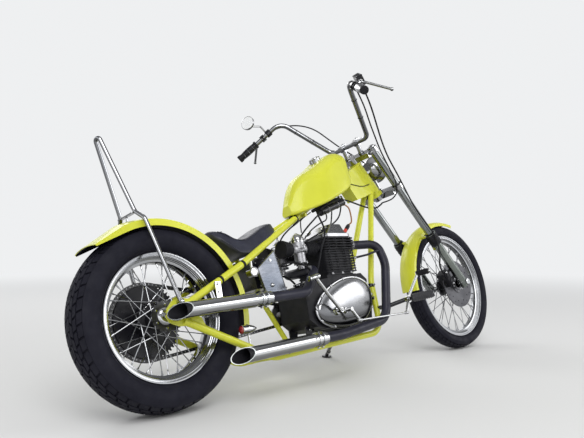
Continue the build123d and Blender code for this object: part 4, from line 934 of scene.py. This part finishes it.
def seat():
    """Leather saddle: a crowned squab and a raised back, with a welted seam and pleats."""
    rings = []
    for x, foot, top, low, high, crown in SEAT_ROWS:
        flank = [(foot * 0.82, low), (foot * 0.97, low + 5), (foot, low + 14)]
        for share in (0.25, 0.5, 0.75):
            bulge = 2 * math.sin(math.pi * share)
            flank.append((foot + (top - foot) * share + bulge, low + 14 + (high - low - 22) * share))
        flank.append((top + 1, high - 4))
        profile = [(-y, z) for y, z in flank]
        for step in range(9):
            share = step / 8
            profile.append((top * 0.93 * (2 * share - 1), high + crown * math.sin(math.pi * share) ** 0.8))
        profile += reversed(flank)
        rings.append([Vector((x, y, z)) for y, z in profile])
    form = Form("saddle_leather", "frame", "seat")
    form.skin(rings, "leather")
    saddle = form.make(60)
    saddle.modifiers.new("soft", "SUBSURF").levels = 2
    saddle.modifiers["soft"].render_levels = 2
    piping = Form("saddle_piping", "frame")
    middle_rows = SEAT_ROWS[2:-2]
    for side in SIDES:
        edge = [(x, side * (top + 1), high - 3.5) for x, foot, top, low, high, crown in middle_rows]
        piping.tube(edge, 2.4, "leather", 8, 3)
        lower = [(x, side * foot, low + 12) for x, foot, top, low, high, crown in middle_rows]
        piping.tube(lower, 2, "leather", 8, 3)
    for x, z, half in ((398, 606, 62), (300, 640, 50)):
        pleat = ((-half, z - 3), (-half * 0.5, z + 1), (0, z + 2), (half * 0.5, z + 1), (half, z - 3))
        piping.tube([(x, y, height) for y, height in pleat], 1.8, "leather", 8, 4)
    piping.make(60)


# Fittings on the frame

def tube_fittings(form):
    """Bands, welds and bolts on the frame's tubes and at the axle."""
    for x, y, z, aim in ((213, 113.5, 437, (0.9, 0, 0.435)), (328, 113, 491.886, (0.86, 0, 0.44))):
        for side in SIDES:
            form.lathe(Vector((x, side * y, z)) - Vector(aim) * 5, aim,
                       [(0, 13), (0, 15.2), (1, 15.8), (9, 15.8), (10, 15.2), (10, 13)], "rubber", 28)
    form.lathe((742, 0, 702), BACKBONE_AIM,
               [(0, 18), (0, 21), (2, 22), (20, 22), (22, 21), (22, 18)], "black_paint", 32)
    # Welds at the ends of the tubes
    for side in SIDES:
        low = fork(735, -49, side * 22)
        aim = (tube_foot(side) - low).normalized()
        for place, axis in (
            ((38, side * 114, 351), (0.9, 0, 0.43)),
            ((52, side * 114, 293.5), (0.92, 0, -0.38)),
            (low + aim * 26, aim),
        ):
            form.torus(place, axis, 13.8, 2.6, "yellow", 24, 6)
        for x, z in ((470, 128), (664, 136)):
            form.torus((x, side * 97, z), ACROSS, 11, 2.4, "yellow", 20, 6)
    form.torus((1084, 0, 904), BACKBONE_AIM, 18.8, 2.6, "yellow", 28, 6)
    # Axle ends
    for side in SIDES:
        out = ACROSS * side
        form.torus(REAR_AXLE + out * 129.6, out, 23.5, 3.2, "rubber", 36)
        form.lathe(REAR_AXLE + out * 128.5, out, [(0, 20.5), (4, 20.5), (8, 18), (10, 12), (10.6, 3)],
                   "chrome", 32)
        form.bolt(REAR_AXLE + Vector((-26, side * 118.2, 0)), out)
        form.lathe(REAR_AXLE + Vector((-62, side * 114, 0)), FORWARD, [(0, 4), (30, 4)], "steel", 12)
        form.bolt(REAR_AXLE + Vector((-46, side * 114, 0)), -FORWARD, 6.5)
    # Passenger bar and mudguard bolts
    guard_r, stay_x = 343, 310
    for side in SIDES:
        out = ACROSS * side
        form.dome((16, side * 144, 366), out, 8.5, 8, "chrome", 20)
        form.bolt((stay_x, side * 113, REAR_R + math.sqrt(guard_r ** 2 - stay_x ** 2)), out, 5, 4)
        form.dome((-74, side * 40, 710.5), (-0.2, 0, 1), 6, 4.5, "chrome", 6)
    # Muffler bracket
    form.bolt((176, -145, 417), RIGHT)
    form.bolt((176, -145, 388), RIGHT, 4.5, 4)


def box_and_lamp_fittings(form):
    """Side panel, battery box, horn, tail lamp and tail pipes."""
    # Side panel: bright edges and the bolts
    corners = [(506, 543), (541, 374), (435, 377), (409, 474)]
    for (x0, z0), (x1, z1) in zip(corners, corners[1:] + corners[:1]):
        form.tube([(x0, -103.5, z0), (x1, -103.5, z1)], 2, "alloy", 8)
    form.dome((470, -103.8, 404), RIGHT, 9, 8, "chrome", 20)
    form.bolt((478, -103.8, 505), RIGHT, 5, 3.5)
    # Battery box: lid, straps and screws
    form.block((450, 0, 522), SQUARE, (74, 118, 8), "black_paint", 2)
    for y in (-57, 57):
        form.block((470, y, 462), ((0.4, 0, -0.92), (0.92, 0, 0.4), ACROSS), (128, 16, 2.4), "rubber", 0.6)
    for x, z in ((440, 505), (500, 415), (452, 412)):
        form.dome((x, -56.3, z), RIGHT, 4, 3, "steel", 10)
    # Horn
    form.torus((378, -116, 460), ACROSS, 17, 3, "chrome", 32)
    for ring_r in (4, 8, 12):
        form.torus((378, -116.4, 460), ACROSS, ring_r, 1.1, "chrome", 24, 6)
    # Tail lamp: lens, rims and the bracket's bolt
    lamp_y, lamp_z = -112, 244
    form.lathe((277, lamp_y, lamp_z), -FORWARD, [(-1, 14.5), (3, 14.5), (7, 12), (9.5, 7), (10.5, 1.5)],
               "red_lens", 28)
    form.torus((276.5, lamp_y, lamp_z), FORWARD, 15.6, 1.9, "chrome", 28)
    form.torus((302, lamp_y, lamp_z), FORWARD, 17.2, 1.2, "chrome", 28, 6)
    form.bolt((306, lamp_y, 226.5), -UPRIGHT, 6.5, 5, "steel")
    # Tail pipes: dark inside, clamps and their bolts
    for tail, front in MUFFLERS.values():
        ahead = (front - tail).normalized()
        form.lathe(tail + ahead * 62, ahead,
                   [(0, 25.8), (270, 25.8), (270, 3), (269, 3), (269, 25.4), (0, 25.4)],
                   "engine_black", 40, close=True)
        for s in (46, 22):
            spot = front - ahead * s
            form.bolt(spot + Vector((0, 0, -31)), RIGHT, 4, 8, "steel")
            form.torus(spot, ahead, 29.6, 1.3, "chrome", 36, 6)


def tank_and_coil_fittings(form):
    """The tap and cap of the tank, the coil with its leads, and the looms beside them."""
    tap = [(-10, 7), (0, 7), (0, 10), (10, 10), (12, 6), (22, 6)]
    form.lathe((1046, -34, 812), -UPRIGHT, tap, "steel", 16)
    form.hose(3.6, (1046, -34, 788), (1034, -46, 768), (980, -58, 700), (860, -66, 640), (740, -66, 590),
              (716, -60, 560))
    form.torus((959.5, 0, 1017.5), CAP_AIM, 26.5, 2.2, "chrome", 36)
    form.lathe((958.6, 0, 1019.6), CAP_AIM, [(-1, 23), (2.5, 21), (4.5, 14), (5.4, 2)], "chrome", 36)
    x, y, z = basis(CAP_AIM)
    for a in turns(8):
        spot = Vector((964, 0, 1006)) + (x * math.cos(a) + y * math.sin(a)) * 27
        form.tube([spot - z * 5, spot + z * 7], 2.4, "chrome", 6)
    # Coil under the tank, with its terminals and the plug leads
    form.lathe((884, -46, 732), COIL_BACK, [(-1, 12), (8, 11), (14, 6), (20, 5)], "engine_black", 20)
    form.lathe((1046, -46, 788), COIL_AIM, [(-1, 19.5), (3, 19.5), (5, 16), (6, 4)], "alloy", 24)
    for x, z in ((930, 748), (1000, 772)):
        form.torus((x, -46, z), COIL_AIM, 18.6, 1.8, "steel", 24)
    for side in SIDES:
        y = side * 74
        low = Vector((988, y, 628))
        high = Vector((1032, y, 668))
        aim = (high - low).normalized()
        form.lathe(low - aim * 40, aim, [(0, 7.5), (16, 7.5), (16, 9), (24, 9)], "steel", 6)
        form.lathe(low - aim * 16, aim, [(0, 5.5), (22, 5.5)], "alloy", 14)
        form.lathe(low, aim, [(0, 7), (3, 9), (16, 9), (22, 8)], "red_ring", 18)
        form.lathe(low + aim * 22, aim, [(0, 8.5), (8, 9.5), (26, 9.5), (34, 7), (36, 4)],
                   "engine_black", 18)
        lead = [high, high + Vector((22, 0, 14)), (1068, y * 0.9, 720), (1072, side * 56, 760),
                (1058, side * 30, 790), (1050, -46, 792)]
        form.tube(lead, 3.5, "wire_orange" if side < 0 else "rubber", 10, 6)
    # Loom from the coil to the headlamp, and a line across the gusset
    form.hose(4.2, (1052, -30, 800), (1100, -24, 806), (1160, -18, 798), (1228, -8, 788), (1300, 0, 780),
              (1358, 0, 783), (1396, 0, 799), (1413, 0, 809))
    gusset_line = [(1147, -34, 890), (1153, -36, 888), (1195, -36, 883), (1241, -36, 882), (1290, -36, 895),
                   (1297, -33, 898)]
    form.tube(gusset_line, 2, "rubber", 8, 6)
    # Stay from the head to the front pipe, and the clamp on the front tube
    form.tube([(985, -112, 500), (1050, -132, 508), (1128, -148, 526)], 5, "header_black", 12)
    form.dome((985, -113, 500), RIGHT, 8, 6, "steel", 6)
    form.lathe(tube_foot(-1) + Vector((-10, -2, -26)), (0.33, 0.06, 0.94), band(14, 16.6, 14),
               "black_paint", 28)
    form.bolt((1096, -98, 372), RIGHT, 4.5, 6, "steel")


def ribs(count, start, pitch, one_rib):
    """A ribbed stretch of a profile: one rib's (distance, radius) steps, again and again."""
    return [(start + pitch * i + s, r) for i in range(count) for s, r in one_rib]


PEG_RIBS = [(0, 15), (0, 18)] + ribs(9, 3, 9.6, [(0, 19.5), (5, 19.5), (6.4, 17.2), (8.4, 17.2)])
PEG_RIBS += [(91, 18.5), (94, 15), (94, 4)]
TOE_RIBS = [(4, 11), (4, 13.2)] + ribs(5, 6, 11, [(0, 14.2), (6.5, 14.2), (7.6, 12.6), (10, 12.6)])
TOE_RIBS += [(62, 13), (64, 10)]


def foot_controls():
    """Ribbed rubbers over the pegs and pedals, and the joints of their rods."""
    pegs = Form("footpeg_rubbers", "frame")
    for side in SIDES:
        out = ACROSS * side
        start = Vector((1206, side * 222, 279.3))
        aim = Vector((50, side * 92, 4)).normalized()
        pegs.lathe(start, aim, PEG_RIBS, "grey_rubber", 24)
        pegs.lathe(start + aim * 94, aim, [(-1, 9), (3, 9), (5, 6)], "chrome", 20)
        toe = Vector((1288, side * 206, 392))
        toe_aim = Vector((26, side * 62, 2)).normalized()
        pegs.lathe(toe, toe_aim, TOE_RIBS, "rubber", 20)
        pegs.lathe(toe + toe_aim * 66, toe_aim, [(-4, 6), (0, 8), (4, 8), (6, 5)], "chrome", 18)
        pegs.dome((1206, side * 204, 279), out, 11, 7, "chrome", 20)
        for x, y, z in ((1168, 196, 218), (857, 184, 215)):
            place = Vector((x, side * y, z))
            pegs.dome(place + out * 5, out, 7.5, 6, "chrome", 18)
            pegs.lathe(place, (1, 0, 0.01), [(-14, 5), (-12, 6.5), (12, 6.5), (14, 5)], "steel", 12)
    pegs.make()


def frame_trim():
    """Everything small that is fixed to the frame."""
    form = Form("frame_fittings", "frame")
    tube_fittings(form)
    box_and_lamp_fittings(form)
    tank_and_coil_fittings(form)
    form.make()
    foot_controls()


# Fittings on the engine

EGG = [
    # x and z round the clutch cover
    (672, 286), (690, 232), (763, 202), (861, 194), (966, 212), (1028, 266),
    (1046, 327), (1024, 382), (960, 412), (873, 410), (784, 381), (714, 338),
]
CASE_BIG = Vector((945, 0, 318))
CASE_SMALL = Vector((746, 0, 282))


def egg_outline():
    """The clutch cover's rim, as a smooth closed curve seen from the right."""
    ring = []
    for i in range(len(EGG)):
        four = [Vector(EGG[(i + k) % len(EGG)]) for k in (-1, 0, 1, 2)]
        ring += [on_curve(*four, step / 6) for step in range(6)]
    return ring


def hull_outline(r_big, r_small):
    """The alternator cover's rim: a belt round its two circles."""
    away = CASE_SMALL - CASE_BIG
    toward = math.atan2(away.z, away.x)
    spread = math.acos((r_big - r_small) / away.length)
    ring = []
    for centre, r, first, last, count in (
        (CASE_BIG, r_big, toward + spread, toward + 2 * math.pi - spread, 46),
        (CASE_SMALL, r_small, toward - spread, toward + spread, 26),
    ):
        for i in range(count):
            a = first + (last - first) * i / (count - 1)
            ring.append(Vector((centre.x + math.cos(a) * r, centre.z + math.sin(a) * r)))
    return ring


def domed_cover(node, side, depth, finish, rim):
    """A domed engine cover with a flat flange and a small step inside it."""
    form = Form(node + "_dome", "frame", node)
    middle = sum(rim, Vector((0, 0))) / len(rim)
    rise = depth - 13
    steps = 16
    levels = [(0.994, 0), (1, 1), (1, 12), (0.992, 13.4), (0.955, 14), (0.948, 15.5)]
    for step in range(1, steps + 1):
        turn = math.pi / 2 * step / steps
        size = 0.948 * math.cos(turn) ** 0.8 if step < steps else 0.02
        levels.append((size, 15 + rise * math.sin(turn)))
    rings = []
    for size, out in levels:
        places = [middle + (spot - middle) * size for spot in rim]
        rings.append([Vector((place.x, side * (COVER_FACE + out), place.y)) for place in places])
    form.skin(rings, finish)
    form.make(28)


def cover_fittings(form):
    """Screws round both covers, the left one's discs, and the bosses of the levers."""
    egg_screws = [Vector((870 + (x - 870) * 0.965, 0, 305 + (z - 305) * 0.95)) for x, z in EGG]
    case_screws = [CASE_BIG + polar(84, math.radians(degrees)) for degrees in (-110, -70, -30, 10, 50, 90)]
    case_screws += [CASE_SMALL + polar(54, math.radians(degrees)) for degrees in (120, 160, 200, 240)]
    for side, screws in ((-1, egg_screws), (1, case_screws)):
        out = ACROSS * side
        for screw in screws:
            spot = screw + out * COVER_FACE
            form.lathe(spot + out * 12, out, [(0, 7.5), (3.6, 7), (4.6, 5.8)], "alloy", 18)
            form.dome(spot + out * 16, out, 4.2, 3)
    face = ACROSS * (COVER_FACE + 16)
    form.lathe(CASE_BIG + face, ACROSS, [(0, 33), (15, 32), (17, 29), (17, 8), (16, 6), (16, 1)], "alloy", 40)
    form.lathe(CASE_SMALL + face, ACROSS, [(0, 20), (13, 19), (15, 16), (15.5, 2)], "alloy", 28)
    filler = between(CASE_BIG, CASE_SMALL, 0.55) + Vector((0, COVER_FACE + 29, 22))
    form.dome(filler, ACROSS, 7, 4, "chrome", 6)
    # Kick shaft, brake crank and gear crank
    for x, z, r in ((767, 268, 16), (817, 266, 13)):
        form.lathe((x, -134, z), RIGHT, [(0, r + 4), (8, r + 2), (12, r), (20, r * 0.86), (21, r * 0.6)],
                   "chrome", 28)
    form.lathe((817, 128, 266), ACROSS, [(0, 16), (6, 13), (14, 11), (15, 8)], "chrome", 28)
    form.dome((767, -178, 268), RIGHT, 7, 5, "chrome", 6)
    form.lathe((642, -190, 413), (-0.98, -0.11, -0.16),
               [(-6, 12), (8, 12), (10, 10.6), (48, 10.6), (52, 12), (57, 11), (58, 4)], "chrome", 24)


def block_fittings(form):
    """Nuts, caps, ties, clamps and studs on the rocker cover, the head, the block and the crankcase."""
    for x in (842, 978):
        for y in (-88, -30, 30, 88):
            form.dome((x, y, 618.5), UPRIGHT, 6.5, 8, "chrome", 6)
    for x, z, tip in ((884, 652, -0.55), (966, 650, 0.5)):
        for y in (-52, 52):
            form.lathe((x, y, z), (tip, 0, 0.84), [(-4, 17), (6, 17), (8, 15), (9, 9), (12, 8), (13, 3)],
                       "alloy", 24)
    form.block((934, 0, 669.5), SQUARE, (30, 128, 5), "alloy", 1.6)
    for y in (-48, 0, 48):
        form.dome((934, y, 671.5), UPRIGHT, 5.5, 7)
    # Head bolts and fin ties
    for x, y in ((838, -70), (838, 70), (970, -70), (970, 70), (904, -86), (904, 86)):
        form.lathe((x, y, 600), UPRIGHT, [(0, 8), (8, 8), (9, 6)], "steel", 6)
    for x in (832, 880, 930, 980):
        for side in SIDES:
            for y, low, high in ((106.5, 444, 543), (108.5, 548, 600)):
                form.tube([(x, side * y, low), (x, side * y, high)], 2.6, "engine_black", 6)
    # Base flange nuts
    for x in (836, 900, 958):
        for side in SIDES:
            form.bolt((x, side * 97, 434), UPRIGHT, 6.5, 8, "steel")
    # Exhaust stubs: finned clamps and bolts
    for y in (-CYLINDER_Y, CYLINDER_Y):
        for x in (1012, 1018, 1024):
            form.torus((x, y, 570), FORWARD, 27.5, 2.3, "steel", 32)
        for z in (537, 603):
            form.bolt((1019, y, z), FORWARD, 5, 6, "steel")
    # Crankcase: split line, studs, drain and filler
    outline = [
        (724, 204), (724, 408), (760, 414), (1010, 430), (1044, 400), (1050, 300), (1030, 222), (980, 200),
    ]
    swell = 0.022
    seam = []
    for y in (-3, 3):
        seam.append([Vector((x + (x - 890) * swell, y, z + (z - 315) * swell)) for x, z in outline])
    form.skin(seam, "engine_black")
    for x, z in ((1046, 398), (1052, 300), (1032, 224), (982, 196), (722, 412)):
        form.lathe((x, -9, z), ACROSS, [(0, 8), (18, 8)], "engine_black", 14)
        form.dome((x, -9, z), RIGHT, 4.5, 4, "steel", 6)
    form.bolt((880, 20, 182), -UPRIGHT, 10, 6, "steel")
    form.lathe((700, 0, 406), UPRIGHT, [(0, 17), (6, 17), (8, 14), (9, 4)], "alloy", 26)
    # Mount bolts
    for x, z in ((1040, 332), (1040, 288), (1084, 310), (984, 200), (983, 170), (680, 210), (664, 160)):
        for side in SIDES:
            form.bolt((x, side * 58, z), ACROSS * side)


def engine_hoses(form):
    """Tank bracket, fuel lines and looms over the coil, and the gearbox's oil line and breather."""
    bracket_axes = ((0.94, 0, 0.33), ACROSS, (-0.33, 0, 0.94))
    form.block((936, -44, 786), bracket_axes, (60, 30, 12), "engine_black", 2)
    form.tube([(850, -30, 742), (900, -34, 762), (960, -40, 790), (1030, -36, 806), (1075, -20, 822)],
              8, "rubber", 12, 6)
    form.hose(4.5, (872, -58, 742), (930, -64, 770), (1000, -64, 792), (1052, -48, 806))
    for side in SIDES:
        form.hose(3.8, (870, side * 50, 746), (846, side * 72, 718), (800, side * 84, 690),
                  (750, side * 84, 655), (714, side * 76, 622), (700, side * 66, 600))
    form.hose(4.2, (866, -40, 742), (850, -66, 700), (834, -96, 650), (812, -114, 604), (786, -112, 560),
              (766, -100, 500), (752, -80, 436), (748, -70, 404))
    form.tube([(898, -58, 738), (880, -84, 706), (852, -100, 680), (812, -96, 664), (770, -84, 640),
               (740, -70, 612), (728, -62, 590)], 3, "rubber", 8, 6)
    form.hose(4.5, (730, -70, 404), (716, -92, 430), (690, -96, 470), (640, -88, 492), (590, -70, 496),
              (540, -48, 478), (498, -38, 474))
    form.hose(4.5, (744, 40, 404), (730, 60, 440), (700, 70, 462), (640, 72, 470), (570, 58, 458),
              (512, 40, 452))


def carburettor_fittings():
    """Caps, bowls, screws, ribbed rubbers and the linkage."""
    parts = Form("carburettor_fittings", "frame")
    for side in SIDES:
        y = side * CYLINDER_Y
        out = ACROSS * side
        middle = Vector((688, y, 556))
        for height, ring_r, r, seg in ((38, 30, 2.2, 36), (-62, 25, 2, 32), (-14, 30, 3, 32)):
            parts.torus(middle + UPRIGHT * height, UPRIGHT, ring_r, r, "alloy", seg)
        for a in turns(4, 0.5):
            round_step = Vector((math.cos(a), math.sin(a), 0))
            upper = middle + round_step * 30 + UPRIGHT * 30
            lower = middle + round_step * 26 - UPRIGHT * 66
            parts.lathe(upper, UPRIGHT, [(0, 5), (11, 5), (12, 3.5)], "alloy", 12)
            parts.lathe(lower, UPRIGHT, [(0, 4.5), (10, 4.5)], "alloy", 12)
        cap = [(30, 30.6), (44, 30.4), (52, 27.6), (60, 20.4), (66, 10), (68.6, 1)]
        parts.lathe(middle, UPRIGHT, cap, "chrome", 36)
        parts.dome(middle + UPRIGHT * 67, UPRIGHT, 7, 6)
        parts.bolt(middle + UPRIGHT * -142, -UPRIGHT, 7, 5, "steel")
        for i in range(6):
            parts.torus((727 + 10.4 * i, y, 556 + 0.4 * i), FORWARD, 31.5 - 0.6 * i, 2.4, "rubber", 28)
        parts.torus((640, y, 556), FORWARD, 27, 2.2, "steel", 28)
        for i in range(5):
            parts.torus((630 - 9 * i, y, 556), FORWARD, 29 + 2 * i, 2, "rubber", 28)
        parts.lathe(middle + Vector((0, side * 22, 4)), out, [(0, 10), (10, 10), (12, 7), (16, 7), (17, 4)],
                    "steel", 16)
        lever = [(684, 560), (712, 566), (716, 574), (708, 578), (682, 572)]
        parts.plate(lever, side * 80 - 1.5, side * 80 + 1.5, "steel", 0.4)
        line = [middle + Vector((14, side * 22, 70)), middle + Vector((30, side * 10, 110)),
                (770, y * 0.5, 700), (842, y * 0.4, 738)]
        parts.tube(line, 2.6, "rubber", 8, 6)
    parts.tube([(690, -40, 562), (690, 40, 562)], 4, "steel", 10)
    parts.tube([(670, -52, 510), (664, -20, 500), (664, 20, 500), (670, 52, 510)], 3.6, "rubber", 10, 5)
    parts.make()


def engine_trim():
    """Both domed covers, and the small pieces of the engine and its carburettors."""
    domed_cover("clutch_cover", -1, 39, "alloy", egg_outline())
    domed_cover("alternator_cover", 1, 31, "engine_black", hull_outline(92, 62))
    form = Form("engine_fittings", "frame")
    cover_fittings(form)
    block_fittings(form)
    engine_hoses(form)
    form.make()
    carburettor_fittings()


# Fittings on the steering

def leg_fittings(form, side):
    """Rings, bolts and the seal holder on one fork leg."""
    def leg(t, e=0, y=0):
        return fork(t, LEG_E + e, side * LEG_Y + y)

    out = ACROSS * side
    form.lathe(leg(925), UP, [(-3, 20.8), (1, 20.8), (4, 18), (6, 10), (6.4, 2)], "chrome", 28)
    form.torus(leg(891.5), UP, 21.5, 1.8, "chrome", 28)
    form.torus(leg(682.5), UP, 22, 2.4, "rubber", 28)
    form.torus(leg(653.5), UP, 21.5, 1.8, "chrome", 28)
    for t in (905, 668):
        form.bolt(leg(t, -30, side * 12), -AHEAD, 5)
    # Seal holder over the slider's top
    holder = [(0, 24), (0, 29.6), (3, 30.4), (62, 30.4), (66, 29), (70, 25), (70, 21)]
    form.lathe(leg(280), UP, holder, "engine_black", 36)
    form.torus(leg(352), UP, 22.5, 3, "rubber", 32)
    for t in (300, 322):
        form.torus(leg(t), UP, 30.6, 1.3, "engine_black", 32)
    # Axle clamp bolts, the drain and the axle's nut
    for y in (-7, 7):
        form.bolt(leg(20, -21, y), -AHEAD, 4.5, 6)
    form.bolt(leg(44, -22), -AHEAD, 4, 3, "steel")
    form.lathe(FRONT_AXLE + out * 131, out, [(-4, 18), (4, 18), (6, 16), (7, 8)], "chrome", 6)
    form.torus(leg(-2), UP, 23.6, 1.6, "leg_metal", 28)
    # Mudguard stay bolt
    form.dome(leg(256, -20, side * -7.56), (-0.3, side * 0.2, -0.9), 5.5, 5, "chrome", 6)


def headlamp_fittings(form):
    """Bezel, glass, rings, side stays and the post's nut."""
    lamp = fork(822, 60)
    front = lamp + FORWARD * 82
    bezel = [(-8, 71.6), (-6, 73), (0, 73.4), (4, 71.5), (5, 68), (3, 65), (-4, 65)]
    form.lathe(front, FORWARD, bezel, "chrome", 56)
    form.lathe(front, FORWARD, [(-3, 66), (1, 62), (6, 46), (9, 26), (10, 2)], "clear_lens", 56)
    form.torus(lamp + FORWARD * 46, FORWARD, 66.2, 1.4, "chrome", 48, 6)
    for side in SIDES:
        stay = [lamp + Vector((46, side * 64, -10)), lamp + Vector((20, side * 78, -14))]
        form.tube(stay + [fork(790, 30, side * 86)], 5, "chrome", 12)
        form.dome(lamp + Vector((46, side * 66, -10)), ACROSS * side, 8, 7, "chrome", 20)
    form.bolt(fork(686, 47), UP, 9, 6)


def hand_fittings(hand, side):
    """Grip, lever pivot, clamp and switches of one hand, and the ties along the bar."""
    end = fork(1244, -210, side * 442)
    bend = fork(1272, -5, side * 249)
    inward = (bend - end).normalized()
    # Barrel grip: black ends, a bright or black middle and thin rings round it
    hand.lathe(end, inward, [(-9, 11), (-9, 17), (-7, 19.5), (6, 19.5), (9, 17.5), (14, 17)], "rubber", 28)
    sleeve = [(13, 13.2), (13, 17.2), (34, 19.2), (58, 20.2), (84, 19.2), (104, 17), (104, 13.2)]
    hand.lathe(end, inward, sleeve, "old_chrome" if side < 0 else "black_paint", 32)
    bulge_at, bulge_r, fall = 58, 20, 0.0022
    for s in (28, 58, 88) if side > 0 else (98,):
        ring_r = bulge_r - fall * (s - bulge_at) ** 2
        hand.torus(end + inward * s, inward, ring_r, 1.1, "dark_chrome", 28, 6)
    hand.lathe(end, inward, [(103, 14), (103, 18), (106, 20.5), (113, 20.5), (116, 18), (116, 13.2)],
               "rubber", 28)
    # Lever pivot and its clamp
    ahead = (AHEAD - inward * inward.dot(AHEAD)).normalized()
    above = inward.cross(ahead).normalized()
    if above.z < 0:
        above = -above
    axes = (inward, above, ahead)
    centre = end + inward * 160
    pivot = centre + ahead * 36
    hand.lathe(pivot - above * 11, above, [(0, 6), (2, 8), (20, 8), (22, 6)], "chrome", 20)
    hand.dome(pivot + above * 11, above, 6, 4, "chrome", 6)
    hand.block(centre - ahead * 17, axes, (22, 26, 10), "engine_black", 2)
    for s in (-6, 6):
        hand.dome(centre + inward * s - ahead * 22, -ahead, 3.5, 3, "steel", 10)
    # Switch
    hand.lathe(centre + inward * 26, inward, [(0, 13), (0, 18), (3, 19), (25, 19), (28, 18), (28, 13)],
               "engine_black", 28)
    hand.block(centre + inward * 40 - ahead * 20, axes, (18, 10, 8), "grey_rubber", 1.5)
    if side < 0:
        # Master cylinder: body, lid with its screws, and the sight cap
        box = centre + inward * 44 + ahead * 40
        hand.block(box, axes, (65.4, 45.4, 31.4), "black_paint", 2)
        hand.block(box + above * 24.5, (inward, ahead, above), (66, 32, 8), "engine_black", 2.5)
        for a in (-26, 26):
            for b in (-10, 10):
                hand.dome(box + inward * a + ahead * b + above * 28, above, 2.8, 2, "steel", 10)
        hand.lathe(box + ahead * 14, ahead, [(0, 7), (3, 6.6), (4, 5)], "dark_chrome", 22)
    # Ties along the bar
    lower = fork(976, 52, side * 126)
    for share in (0.3, 0.62):
        hand.torus(between(bend, lower, share), (bend - lower).normalized(), 13.4, 1.5, "rubber", 20, 6)


def steering_trim():
    """The small pieces of the fork, the headlamp, the caliper, the bar and the mirror."""
    form = Form("steering_fittings", "steering")
    for side in SIDES:
        leg_fittings(form, side)
    # Stem nut and riser caps
    form.lathe(fork(918, 0), UP, [(-1, 21), (5, 21), (7, 19), (17, 19), (19, 17)], "chrome", 6)
    form.lathe(fork(936, 0), UP, [(-1, 12), (4, 11), (7, 7), (7.6, 1)], "chrome", 24)
    for y in (-48, 48):
        for e in (38.84, 65.16):
            form.dome(fork(993, e, y), UP, 5)
        form.block(fork(984, 52, y), (AHEAD, ACROSS, UP), (44, 28, 18), "chrome", 2.5)
        form.torus(fork(922, 34, y), UP, 14, 2, "chrome", 28)
    headlamp_fittings(form)
    # Caliper: cheeks, pistons and bolts
    for y in (-91.5, -39.5):
        form.block(fork(89, -12, y), (UP, AHEAD, ACROSS), (74, 36, 8), "engine_black", 3)
    for t in (70, 108):
        form.lathe(fork(t, -12, -94.5), RIGHT, [(0, 16), (5, 15), (6, 12), (6.5, 3)], "engine_black", 28)
    for t in (52, 126):
        form.bolt(fork(t, -12, -94), RIGHT, 5)
    form.make()
    hand = Form("handlebar_fittings", "steering", "grips")
    for side in SIDES:
        hand_fittings(hand, side)
    # Mirror: glass, rim and back. The glass's near-white colour is a painted reflection of the sky.
    head = fork(1373, -121, 330)
    facing = Vector((-0.86, -0.3, 0.12)).normalized()
    hand.lathe(head + facing * 5, facing, [(-0.5, 34.5), (0.8, 34), (1, 2)], "mirror_painted_sky", 40)
    hand.torus(head + facing * 4.6, facing, 35.4, 1.7, "chrome", 40)
    hand.dome(head - facing * 7, -facing, 16, 7, "chrome", 24)
    hand.make()


def stand_trim():
    """Two bright collars on the side stand's leg."""
    form = Form("stand_fittings", "side_stand")
    pivot = Vector((1005, 142, 151.7672))
    foot_y = pivot.y + 178
    rise = Vector((0, -math.sin(LEAN), math.cos(LEAN)))
    foot = Vector((pivot.x + 118, foot_y, foot_y * math.tan(LEAN) - 8))
    aim = (foot + rise * 10 - pivot).normalized()
    for s, length in ((34, 4), (150, 10)):
        form.lathe(pivot + aim * s, aim, band(8, 10.5, length), "chrome", 20)
    form.make()


for finish_name, names in CAD_FINISH.items():
    for node_name in names.split():
        dress(node_name, finish_name)
dress_guard("rear_mudguard", REAR_AXLE)
dress_guard("front_mudguard", FRONT_AXLE)
for node_name, (tail_end, front_end) in MUFFLERS.items():
    dress_muffler(node_name, tail_end, front_end)
wheels()
chain()
seat()
frame_trim()
engine_trim()
steering_trim()
stand_trim()
